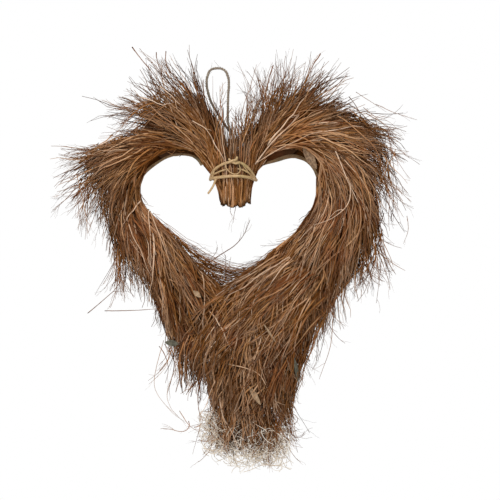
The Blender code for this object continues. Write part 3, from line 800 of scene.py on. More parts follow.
@dataclass
class MeshParts:
    """The growing mesh of one piece."""

    points: list = field(default_factory=list)
    corners: list = field(default_factory=list)
    starts: list = field(default_factory=list)
    maps: list = field(default_factory=list)
    point_count: int = 0
    corner_count: int = 0

    def add(self, points: Array, corners: Array, starts: Array, uv: Array) -> None:
        """Adds faces, given their points, corners, first corners and map places."""
        self.points.append(points)
        self.corners.append(corners + self.point_count)
        self.starts.append(starts + self.corner_count)
        self.maps.append(uv)
        self.point_count += len(points)
        self.corner_count += len(corners)

    def lay(self, template: StemTemplate, strands: Strands, tone_width: float = 0.004) -> None:
        """Lays the stem along every strand's route.

        Args:
            template: The stem, with as many rings as the routes have points.
            strands: The routes, radii and tones.
            tone_width: The height of a strand's strip on the map, round which its girth runs.
        """
        route, count = strands.route, len(strands)
        if count == 0:
            return
        tangent = unit(np.gradient(route, axis=1))
        aside = unit(np.cross(tangent, np.array((0.02, 1.0, 0.03))))
        up = np.cross(aside, tangent)
        roll = np.arange(count) * GOLDEN_TURN
        turn = template.around[None, :] + roll[:, None]
        at = template.ring
        arm = aside[:, at] * np.cos(turn)[..., None] + up[:, at] * np.sin(turn)[..., None]
        points = route[:, at] + arm * strands.radius[:, at, None]
        size = len(template.ring)
        corners = template.corners[None, ::-1] + size * np.arange(count)[:, None]
        lengths = np.diff(np.append(template.starts, len(template.corners)))[::-1]
        starts = np.concatenate(([0], np.cumsum(lengths)[:-1]))
        starts = starts[None, :] + len(template.corners) * np.arange(count)[:, None]
        u = np.tile(template.corner_along[::-1], count)
        v = strands.tone[:, None] + (template.corner_around[None, ::-1] - 0.5) * tone_width
        uv = np.stack((u, np.clip(v.ravel(), 0.001, 0.999)), axis=-1)
        self.add(points.reshape(-1, 3), corners.ravel(), starts.ravel(), uv)

    def mesh(self, name: str) -> bpy.types.Mesh:
        """The finished mesh, shaded smooth."""
        made = bpy.data.meshes.new(name)
        points = np.concatenate(self.points).astype(np.float32)
        corners = np.concatenate(self.corners).astype(np.int32)
        starts = np.concatenate(self.starts).astype(np.int32)
        made.vertices.add(len(points))
        made.vertices.foreach_set("co", points.ravel())
        made.loops.add(len(corners))
        made.loops.foreach_set("vertex_index", corners)
        made.polygons.add(len(starts))
        made.polygons.foreach_set("loop_start", starts)
        layer = made.uv_layers.new(name=ROOT_MAP)
        layer.uv.foreach_set("vector", np.concatenate(self.maps).astype(np.float32).ravel())
        made.update(calc_edges=True)
        made.validate()
        made.shade_smooth()
        made.set_sharp_from_angle(angle=SHARP_ANGLE)
        return made


# How roots grow


@dataclass(frozen=True)
class RootStyle:
    """How one group of roots grows: lengths in metres, angles in degrees.

    Roots grow in locks and share most of their lock's way. Loose locks run out past the dense edge.
    """

    locks: int
    lock_size: int
    length: tuple[float, float]
    butt_radius: tuple[float, float] = (0.00055, 0.00100)
    tip_share: float = 0.26
    wander: float = 7.5
    own_wander: float = 5.5
    sway: float = 4.0
    wave: float = 0.0008
    flare: float = 11.0
    tone: tuple[float, float] = (0.18, 0.80)
    pale: float = 0.046
    pale_tone: tuple[float, float] = (0.82, 0.95)
    most_tone: float = 0.78
    unruly: float = 0.12
    astray: float = 16.0
    most_astray: float = 26.0
    loose: float = 0.35
    short: float = 0.022
    droop: float = 2.0
    clump: float = 0.3
    stretch: float = 1.75


@dataclass
class RootGrower:
    """Grows roots over a sheet and lays them into a piece's mesh.

    The rim sizes say how many locks of the rim grow at the inner edge, and how wide both rims are. The foot
    sizes spread the roots' ends over the tail's foot, and the trims keep the cut butts uneven.
    """

    stem: StemTemplate
    rootlet: StemTemplate
    step: float = 0.0030
    lock_width: float = 0.0026
    rim_inner: float = 0.45
    rim_widths: tuple[float, float] = (0.16, 0.35)
    rootlet_length: tuple[float, float] = (0.007, 0.022)
    thin_foot: float = 0.08
    loose_foot: float = 0.24
    butt_trim: float = 0.0016
    ragged_height: float = 0.0020
    ragged_pace: float = 640.0
    flank_trim: float = 0.0060

    def places(
        self, sheet: RootSheet, low: float, high: float, style: RootStyle, layer: Layer, rng: Rng
    ) -> tuple[Array, Array]:
        """The rows and shares across from which the locks of a group grow."""
        along, across = sheet.seeds(low, high, style.locks, rng)
        if layer is Layer.RIM:
            inner, outer = self.rim_widths
            is_inner = rng.random(style.locks) < self.rim_inner
            across = np.where(is_inner, across * inner, 1.0 - (1.0 - across) * outer)
        return along, across

    def kept_out(self, tip: Array, onward: Array, rng: Rng) -> Array:
        """The tips' places, in steps, with most of the roots cut short where they reach a gap."""
        count, steps = onward.shape[0], onward.shape[1] - 1
        for gap in GAPS:
            held = gap.holds(onward)
            first = np.where(held.any(axis=1), held.argmax(axis=1), 2 * steps)
            first = first - rng.uniform(0.0, 3.0, count)
            tip = np.where(rng.random(count) < gap.cut, np.minimum(tip, steps + first), tip)
        return tip

    def plant(
        self, sheet: RootSheet, low: float, high: float, style: RootStyle, layer: Layer, rng: Rng
    ) -> Strands:
        """Grows one group of roots in locks.

        Args:
            sheet: The side's spread.
            low: First row of the bunch.
            high: Last row of the bunch.
            style: How the roots grow.
            layer: Where they lie in the thickness.
            rng: The source of chance.

        Returns:
            The roots as strands.
        """
        along, across = self.places(sheet, low, high, style, layer, rng)
        count = style.locks * style.lock_size
        lock = np.repeat(np.arange(style.locks), style.lock_size)

        def shared(own: float, values: Array) -> Array:
            """A lock's values with each root's own jitter on top."""
            return values[lock] + rng.normal(0.0, own, count)

        slope = at_rows(sheet.slope, along[lock])
        row_length = np.maximum(np.linalg.norm((slope[:, INNER] + slope[:, OUTER]) / 2, axis=-1), 0.0004)
        width = sheet.width(along[lock])
        unruly = rng.random(count) < style.unruly
        drift = shared(style.own_wander, rng.normal(0.0, style.wander, style.locks))
        astray = rng.normal(0.0, style.astray, count)
        drift = drift + unruly * np.clip(astray, -style.most_astray, style.most_astray)
        loose = (rng.random(style.locks) < style.loose)[lock] & (rng.random(count) < 0.9)
        ends = rng.normal(sheet.dense_end, self.thin_foot, count) + self.loose_foot * loose
        own_along = along[lock] + rng.normal(0.0, self.lock_width, count) / row_length
        own_across = across[lock] + rng.normal(0.0, self.lock_width, count) / width
        seeds = Seeds(
            along=np.clip(own_along, 0.5, sheet.last - 1.0),
            across=np.clip(own_across, 0.0, 0.99),
            floor=rng.uniform(-0.0010, 0.0028, count),
            end=np.interp(ends, sheet.share, np.arange(len(sheet.share))),
            drift=drift,
            sway=shared(1.0, rng.normal(0.0, style.sway, style.locks)),
            pace=shared(3.0, 2.0 * math.pi / rng.uniform(0.05, 0.12, style.locks)),
            phase=shared(0.3, rng.uniform(0.0, 2.0 * math.pi, style.locks)),
            curl=rng.normal(0.0, 1.8, count),
            droop=style.droop * rng.uniform(0.2, 1.8, count),
            wobble=rng.uniform(1.0, 7.0, style.locks)[lock] * rng.uniform(0.7, 1.3, count),
        )
        length = shared(0.006, rng.uniform(*style.length, style.locks))
        split = rng.uniform(0.35, 0.65, count)
        steps = int(style.length[1] / self.step * 0.75) + 4
        onward, on_places, left = sheet.trace(seeds, self.step, steps)
        backward, back_places, cut = sheet.trace(seeds, -self.step, steps)
        tuft = at_rows(sheet.table, seeds.along)[:, TUFT]
        spare = rng.beta(1.6, 1.6, style.locks)[lock] * rng.uniform(0.75, 1.0, count) * style.stretch
        past = np.where(loose, tuft * spare, -style.short * rng.random(count) ** 1.5)
        tip = steps + np.minimum(length * split / self.step, left + past / self.step)
        flank = 1.0 - np.clip(back_places[:, -1, 1], 0.0, 1.0)
        foot_x = backward[np.arange(count), np.minimum(cut, steps), 0]
        ragged = self.ragged_height * (1.0 + np.sin(foot_x * self.ragged_pace + 1.0))
        trim = rng.exponential(self.butt_trim, count) + ragged + self.flank_trim * flank**3
        butt = steps - np.minimum(length * (1.0 - split), cut * self.step - trim) / self.step
        tip = np.clip(self.kept_out(tip, onward, rng), butt + 3.0, 2.0 * steps)
        points = np.concatenate((backward[:, :0:-1], onward), axis=1)
        places = np.concatenate((back_places[:, :0:-1], on_places), axis=1)
        share = np.linspace(0.0, 1.0, self.stem.rings)
        at = butt[:, None] + (tip - butt)[:, None] * share
        flat, place = at_steps(points, at), at_steps(places, at)
        bottom, top = layer.value
        depth = shared(0.04, between(bottom, top, rng.random(style.locks)))
        depth = depth + unruly * 0.05 * np.sign(bottom + top)
        deep = depth[:, None] * (0.86 + 0.17 * share)
        beyond = np.maximum(at - (steps + left)[:, None], 0.0) * self.step
        lift = np.radians(shared(style.flare * 0.5, rng.normal(0.0, style.flare, style.locks)))
        y = sheet.depth(place[..., 0], place[..., 1], deep) - np.tan(lift)[:, None] * beyond
        route = lifted(flat, y)
        middle = route.reshape(style.locks, style.lock_size, -1, 3).mean(axis=1)[lock]
        route += (middle - route) * (style.clump * share**1.5)[:, None]
        route = self.waved(route, length, style.wave, lock, rng)
        radius = radii(*style.butt_radius, count, 1.0 - (1.0 - style.tip_share) * share**1.2, rng)
        radius = radius * rng.uniform(0.82, 1.18, radius.shape)
        # Roots that lie deeper in the bunch, away from its front and its back, get darker tones: painted
        # shade.
        tone = shared(0.10, rng.uniform(*style.tone, style.locks)) + 0.75 * (np.abs(depth) - 0.82)
        pale = rng.random(count) < style.pale
        tone = np.where(pale, rng.uniform(*style.pale_tone, count), np.minimum(tone, style.most_tone))
        return Strands(held_in(route), radius, np.clip(tone, DARKEST, PALEST))

    def waved(self, route: Array, length: Array, wave: float, lock: Array, rng: Rng) -> Array:
        """Lets the roots wave and kink a little, more towards their tips."""
        count, rings = route.shape[:2]
        share = np.linspace(0.0, 1.0, rings)
        locks = int(lock.max()) + 1
        waved = route.copy()
        tangent = unit(np.gradient(route, axis=1))
        aside = unit(np.cross(tangent, np.array((0.0, 1.0, 0.0))))
        for way, size in ((aside, 1.0), (np.array((0.0, 1.0, 0.0)), 0.7)):
            phase = rng.uniform(0.0, 2.0 * math.pi, locks)[lock] + rng.normal(0.0, 0.5, count)
            turns = length / rng.uniform(0.030, 0.060, locks)[lock]
            swing = np.sin(2.0 * math.pi * turns[:, None] * share + phase[:, None])
            amount = wave * size * rng.uniform(0.4, 1.5, count)[:, None] * (0.25 + 0.75 * share)
            kink = rng.normal(0.0, wave * 0.45, (count, rings)) * (0.2 + 0.8 * share**2)
            waved += way * (swing * amount + kink)[..., None]
        return waved

    def fork(self, strands: Strands, forks: float, rng: Rng) -> Strands:
        """Grows side rootlets out of the outer half of some roots.

        Args:
            strands: The roots.
            forks: How many rootlets a root has on average.
            rng: The source of chance.

        Returns:
            The rootlets.
        """
        count = int(len(strands) * forks)
        rings = strands.route.shape[1]
        who = rng.integers(0, len(strands), count)
        at = (0.42 + 0.53 * rng.random(count) ** 0.7) * (rings - 1)
        low = at.astype(int)
        start = between(strands.route[who, low], strands.route[who, low + 1], (at - low)[:, None])
        way = unit(strands.route[who, low + 1] - strands.route[who, low])
        angle = rng.uniform(10.0, 36.0, count) * rng.choice((-1.0, 1.0), count)
        tilt = rng.normal(0.0, 0.16, count)
        length = rng.uniform(*self.rootlet_length, count) * (1.15 - 0.5 * at / rings)
        share = np.linspace(0.0, 1.0, self.rootlet.rings)
        route = np.empty((count, len(share), 3))
        route[:, 0] = start
        bend = rng.normal(0.0, 16.0, count)
        for k in range(1, len(share)):
            off = angle * (1.0 - 0.5 * share[k]) + bend * share[k] + rng.normal(0.0, 10.0, count)
            flat = turned(way[:, (0, 2)], off)
            step = lifted(flat, way[:, 1] + tilt)
            route[:, k] = route[:, k - 1] + unit(step) * (length / (len(share) - 1))[:, None]
        radius = strands.radius[who, low] * rng.uniform(0.45, 0.75, count)
        taper = 1.0 - 0.45 * share
        tone = strands.tone[who] + rng.normal(-0.05, 0.05, count)
        return Strands(held_in(route), radius[:, None] * taper, np.clip(tone, DARKEST, PALEST))

    def lay(self, parts: MeshParts, stem: StemTemplate, strands: Strands, forks: float, rng: Rng) -> None:
        """Lays roots with the side rootlets that fork off them."""
        parts.lay(stem, strands)
        parts.lay(self.rootlet, self.fork(strands, forks, rng))


# Finishes


def new_material(name: str) -> tuple[Material, Tree, bpy.types.Node]:
    """A material with a Principled shader, its node tree and the shader."""
    made = bpy.data.materials.new(name)
    made.use_nodes = True
    tree = made.node_tree
    return made, tree, tree.nodes["Principled BSDF"]


def add_node(tree: Tree, kind: str, links: dict | None = None, **settings: object) -> bpy.types.Node:
    """Adds a node.

    Args:
        tree: Where to add it.
        kind: Its type.
        links: For each input, by name or number, a plain value or the output socket that feeds it.
        settings: Its own properties.

    Returns:
        The node.
    """
    node = tree.nodes.new(kind)
    for key, value in settings.items():
        setattr(node, key, value)
    for key, value in (links or {}).items():
        socket = node.inputs[key]
        if isinstance(value, Socket):
            tree.links.new(value, socket)
        else:
            socket.default_value = value
    return node


def add_ramp(tree: Tree, factor: Socket, stops: tuple) -> Socket:
    """Adds a colour ramp with (place, colour) stops, and returns its colour."""
    node = add_node(tree, "ShaderNodeValToRGB", {"Fac": factor})
    ramp = node.color_ramp
    for _ in range(len(stops) - 2):
        ramp.elements.new(0.5)
    for element, (place, colour) in zip(ramp.elements, stops):
        element.position = place
        element.color = (*colour, 1.0)
    return node.outputs["Color"]


def mixed(tree: Tree, factor: Socket, a: Socket, b: Socket | Colour, blend_type: str = "MIX") -> Socket:
    """Mixes two colours, and returns the result."""
    links = {0: factor, 6: a, 7: (*b, 1.0) if isinstance(b, tuple) else b}
    settings = {"data_type": "RGBA", "blend_type": blend_type, "clamp_factor": True}
    return add_node(tree, "ShaderNodeMix", links, **settings).outputs[2]


def ranged(tree: Tree, value: Socket, a: float, b: float, c: float, d: float) -> Socket:
    """Maps a value from the range a to b onto c to d, held at its ends."""
    links = {"Value": value, "From Min": a, "From Max": b, "To Min": c, "To Max": d}
    return add_node(tree, "ShaderNodeMapRange", links, clamp=True).outputs["Result"]


def calc(tree: Tree, operation: str, *values: Socket | float) -> Socket:
    """The result of a Math node."""
    return add_node(tree, "ShaderNodeMath", dict(enumerate(values)), operation=operation).outputs[0]


def noise(tree: Tree, place: Socket, scale: float, detail: float, roughness: float = 0.5) -> Socket:
    """The value of a Noise Texture at a place."""
    links = {"Vector": place, "Scale": scale, "Detail": detail, "Roughness": roughness}
    return add_node(tree, "ShaderNodeTexNoise", links).outputs[0]


def paired(tree: Tree, x: Socket | float, y: Socket) -> Socket:
    """A place from two numbers."""
    return add_node(tree, "ShaderNodeCombineXYZ", {"X": x, "Y": y}).outputs[0]


def map_axes(tree: Tree) -> tuple[Socket, Socket]:
    """The piece's own map: along its strands, and its tone or girth."""
    uv = add_node(tree, "ShaderNodeUVMap", uv_map=ROOT_MAP)
    split = add_node(tree, "ShaderNodeSeparateXYZ", {0: uv.outputs[0]})
    return split.outputs["X"], split.outputs["Y"]


def object_place(tree: Tree) -> Socket:
    """The place on the piece."""
    return add_node(tree, "ShaderNodeTexCoord").outputs["Object"]


def dress(
    tree: Tree,
    shader: bpy.types.Node,
    colour: Socket,
    rough: Socket,
    height: Socket,
    strength: float,
    depth: float,
) -> None:
    """Feeds a shader its colour, its roughness and a bump of that strength and depth."""
    tree.links.new(colour, shader.inputs["Base Color"])
    tree.links.new(rough, shader.inputs["Roughness"])
    bump = add_node(tree, "ShaderNodeBump", {"Height": height, "Strength": strength, "Distance": depth})
    tree.links.new(bump.outputs[0], shader.inputs["Normal"])


class FibreGroup:
    """The shader group of long fibres and small knots, used by every root and cane."""

    name = "long fibres"
    inputs = {"Along": 0.0, "Across": 0.0, "Streak Length": 8.0, "Streak Width": 60.0}
    knots_to_streaks = 2.3

    @classmethod
    def tree(cls) -> Tree:
        """The group's node tree, built once."""
        return bpy.data.node_groups.get(cls.name) or cls.build()

    @classmethod
    def build(cls) -> Tree:
        """Builds the group: streaks that run lengthwise, and knots that come in rings."""
        tree = bpy.data.node_groups.new(cls.name, "ShaderNodeTree")
        for socket, value in cls.inputs.items():
            made = tree.interface.new_socket(socket, in_out="INPUT", socket_type="NodeSocketFloat")
            made.default_value = value
        for socket in ("Streaks", "Knots"):
            tree.interface.new_socket(socket, in_out="OUTPUT", socket_type="NodeSocketFloat")
        inside = tree.nodes.new("NodeGroupInput").outputs
        outside = tree.nodes.new("NodeGroupOutput").inputs
        along = calc(tree, "MULTIPLY", inside["Along"], inside["Streak Length"])
        across = calc(tree, "MULTIPLY", inside["Across"], inside["Streak Width"])
        tree.links.new(noise(tree, paired(tree, along, across), 1.0, 3.0, 0.6), outside["Streaks"])
        often = calc(tree, "MULTIPLY", along, cls.knots_to_streaks)
        knots = noise(tree, paired(tree, often, across), 1.0, 1.0)
        tree.links.new(ranged(tree, knots, 0.60, 0.72, 0.0, 1.0), outside["Knots"])
        return tree

    @classmethod
    def place(
        cls, tree: Tree, along: Socket, across: Socket, length: float, width: float
    ) -> tuple[Socket, Socket]:
        """Places the group in a material on its two map directions, and returns its streaks and its knots."""
        links = {"Along": along, "Across": across, "Streak Length": length, "Streak Width": width}
        made = add_node(tree, "ShaderNodeGroup", links, node_tree=cls.tree())
        return made.outputs["Streaks"], made.outputs["Knots"]


@dataclass(frozen=True)
class RootFinish:
    """Dry fine roots: brown to reddish, paler here and there, with greyish wiry tips.

    The map's first axis runs from butt to tip, and its second one is the root's tone.
    """

    name: str = "dry roots"
    body: tuple = (
        (0.00, (0.026, 0.008, 0.001)),
        (0.12, (0.048, 0.016, 0.002)),
        (0.24, (0.112, 0.038, 0.007)),
        (0.42, (0.228, 0.093, 0.025)),
        (0.58, (0.350, 0.162, 0.056)),
        (0.74, (0.480, 0.262, 0.125)),
        (0.86, (0.600, 0.385, 0.240)),
        (1.00, (0.750, 0.560, 0.420)),
    )
    tips: tuple = (
        (0.00, (0.036, 0.016, 0.007)),
        (0.20, (0.084, 0.040, 0.020)),
        (0.50, (0.184, 0.102, 0.058)),
        (0.80, (0.320, 0.205, 0.140)),
        (1.00, (0.700, 0.510, 0.370)),
    )
    red: Colour = (0.270, 0.080, 0.040)
    olive: Colour = (0.240, 0.150, 0.060)
    knot: Colour = (0.030, 0.016, 0.010)
    length: float = 14.0
    width: float = 900.0
    hue_width: float = 46.0
    patch_size: float = 21.0
    gloss: float = 0.02
    bump: float = 0.0002

    def material(self) -> Material:
        """Builds the material."""
        made, tree, shader = new_material(self.name)
        along, tone = map_axes(tree)
        streaks, knots = FibreGroup.place(tree, along, tone, self.length, self.width)
        hue = noise(tree, paired(tree, 3.7, tone), self.hue_width, 1.0)
        not_darkest = ranged(tree, tone, 0.12, 0.22, 0.0, 1.0)
        not_pale = ranged(tree, tone, 0.78, 0.86, 1.0, 0.0)
        reddish = calc(tree, "MULTIPLY", ranged(tree, hue, 0.52, 0.68, 0.0, 0.40), not_darkest)
        reddish = calc(tree, "MULTIPLY", reddish, not_pale)
        patches = noise(tree, object_place(tree), self.patch_size, 2.0)
        patch_red = calc(tree, "MULTIPLY", ranged(tree, patches, 0.54, 0.68, 0.0, 0.40), not_pale)
        patch_olive = ranged(tree, patches, 0.46, 0.34, 0.0, 0.45)
        colour = mixed(tree, patch_olive, add_ramp(tree, tone, self.body), self.olive, "SOFT_LIGHT")
        colour = mixed(tree, calc(tree, "MAXIMUM", reddish, patch_red), colour, self.red)
        towards_tip = ranged(tree, along, 0.50, 1.0, 0.0, 0.9)
        colour = mixed(tree, towards_tip, colour, add_ramp(tree, tone, self.tips))
        grain_and_butt_shade = ranged(tree, streaks, 0.25, 0.75, 0.62, 1.40)
        # Colour darkens towards each strand's butt, which shows at the stub's cut ends: painted shade. The
        # streaks before it are the roots' own grain.
        grain_and_butt_shade = calc(tree, "MULTIPLY", grain_and_butt_shade, ranged(tree, along, 0.0, 0.075, 0.22, 1.0))
        streaked_and_shaded = add_node(tree, "ShaderNodeVectorMath", {0: colour, 1: grain_and_butt_shade}, operation="MULTIPLY")
        colour = streaked_and_shaded.outputs[0]
        colour = mixed(tree, calc(tree, "MULTIPLY", knots, 0.45), colour, self.knot)
        shader.inputs["Specular IOR Level"].default_value = self.gloss
        dress(tree, shader, colour, ranged(tree, streaks, 0.3, 0.7, 0.55, 0.85), streaks, 0.5, self.bump)
        return made


@dataclass(frozen=True)
class CaneFinish:
    """A cane or twisted strand: fibres that run lengthwise between a dark and a light colour."""

    name: str
    dark: Colour
    middle: Colour
    light: Colour
    tint: Colour
    roughness: tuple[float, float] = (0.45, 0.70)
    length: float = 30.0
    width: float = 14.0
    tint_amount: float = 0.5
    patch_size: float = 55.0
    bump: float = 0.0004

    def material(self) -> Material:
        """Builds the material."""
        made, tree, shader = new_material(self.name)
        along, around = map_axes(tree)
        streaks, knots = FibreGroup.place(tree, along, around, self.length, self.width)
        colour = add_ramp(tree, streaks, ((0.28, self.dark), (0.48, self.middle), (0.70, self.light)))
        patches = noise(tree, object_place(tree), self.patch_size, 2.0)
        colour = mixed(tree, ranged(tree, patches, 0.50, 0.66, 0.0, self.tint_amount), colour, self.tint)
        colour = mixed(tree, calc(tree, "MULTIPLY", knots, 0.5), colour, self.dark)
        dress(tree, shader, colour, ranged(tree, streaks, 0.3, 0.7, *self.roughness), streaks, 0.8, self.bump)
        return made


@dataclass(frozen=True)
class LeafFinish:
    """A dry leaf or bark flake: mottled, with veins that leave a midrib."""

    name: str
    dark: Colour
    middle: Colour
    light: Colour
    veins: float = 9.0
    mottle_size: float = 380.0
    bump: float = 0.0003

    def material(self) -> Material:
        """Builds the material."""
        made, tree, shader = new_material(self.name)
        along, across = map_axes(tree)
        mottle = noise(tree, object_place(tree), self.mottle_size, 4.0)
        colour = add_ramp(tree, mottle, ((0.30, self.dark), (0.50, self.middle), (0.72, self.light)))
        aside = calc(tree, "ABSOLUTE", calc(tree, "SUBTRACT", across, 0.5))
        ribs = calc(tree, "SUBTRACT", along, calc(tree, "MULTIPLY", aside, 0.7))
        ribs = calc(tree, "SINE", calc(tree, "MULTIPLY", ribs, self.veins * 2.0 * math.pi))
        midrib = ranged(tree, aside, 0.0, 0.06, 0.8, 0.0)
        lines = calc(tree, "MAXIMUM", ranged(tree, ribs, 0.82, 1.0, 0.0, 0.5), midrib)
        colour = mixed(tree, lines, colour, self.light)
        dress(tree, shader, colour, ranged(tree, mottle, 0.3, 0.7, 0.62, 0.85), lines, 0.6, self.bump)
        return made


# Pieces of the wreath


def finish_piece(name: str, parts: MeshParts, finish: Material, slot: str, *nodes: str) -> None:
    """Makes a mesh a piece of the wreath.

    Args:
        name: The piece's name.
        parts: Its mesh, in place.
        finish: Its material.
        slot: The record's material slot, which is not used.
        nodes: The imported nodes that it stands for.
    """
    mesh = parts.mesh(nodes[0] if nodes else name)
    mesh.materials.append(finish)
    piece = bpy.data.objects.new(name, mesh)
    bpy.context.scene.collection.objects.link(piece)
    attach(piece, BODY)
    if nodes:
        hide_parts(*nodes)
    mesh.calc_loop_triangles()
    LOG.info("%s: %d triangles", name, len(mesh.loop_triangles))


@dataclass(frozen=True)
class BunchPlan:
    """One bunch: the shares between which its roots are seeded, its numbers of locks, and how they differ."""

    name: str
    low: float
    high: float
    front: int
    rear: int
    rim: int
    tone: float = 0.0
    wave: float = 1.0
    length: tuple[float, float] = (0.070, 0.120)
    loose: float = 0.35
    droop: float = 2.0


BUNCHES = {
    Side.LEFT: (
        BunchPlan("crown_bunch", -0.06, 0.212, 170, 76, 36, -0.10, 0.8, (0.080, 0.135), 0.36, 0.2),
        BunchPlan("lobe_bunch", 0.212, 0.425, 150, 66, 36, -0.02, 1.1, (0.070, 0.115), 0.30, 3.0),
        BunchPlan("side_bunch", 0.425, 0.640, 104, 46, 34, -0.03, 1.0, (0.070, 0.120), 0.22, 4.0),
        BunchPlan("upper_arm_bunch", 0.640, 0.830, 104, 46, 30, -0.09, 1.0, (0.070, 0.120), 0.25, 3.0),
        BunchPlan("lower_arm_bunch", 0.830, 1.200, 138, 58, 36, -0.06, 1.1, (0.070, 0.115), 0.22, 2.0),
        BunchPlan("tail_bunch", 1.200, 2.000, 104, 52, 36, 0.0, 1.3, (0.060, 0.110), 0.30, 1.0),
    ),
    Side.RIGHT: (
        BunchPlan("crown_bunch", -0.06, 0.165, 156, 70, 34, -0.03, 0.8, (0.080, 0.135), 0.36, 0.2),
        BunchPlan("lobe_bunch", 0.165, 0.400, 188, 76, 42, -0.02, 1.1, (0.080, 0.125), 0.30, 2.5),
        BunchPlan("side_bunch", 0.400, 0.610, 130, 58, 34, -0.09, 1.0, (0.070, 0.120), 0.26, 4.0),
        BunchPlan("upper_arm_bunch", 0.610, 0.810, 140, 58, 34, 0.0, 1.0, (0.070, 0.120), 0.28, 3.0),
        BunchPlan("lower_arm_bunch", 0.810, 1.200, 184, 76, 38, -0.02, 1.0, (0.070, 0.120), 0.20, 2.0),
        BunchPlan("tail_bunch", 1.200, 2.000, 140, 60, 38, 0.0, 1.3, (0.060, 0.110), 0.26, 1.0),
    ),
}


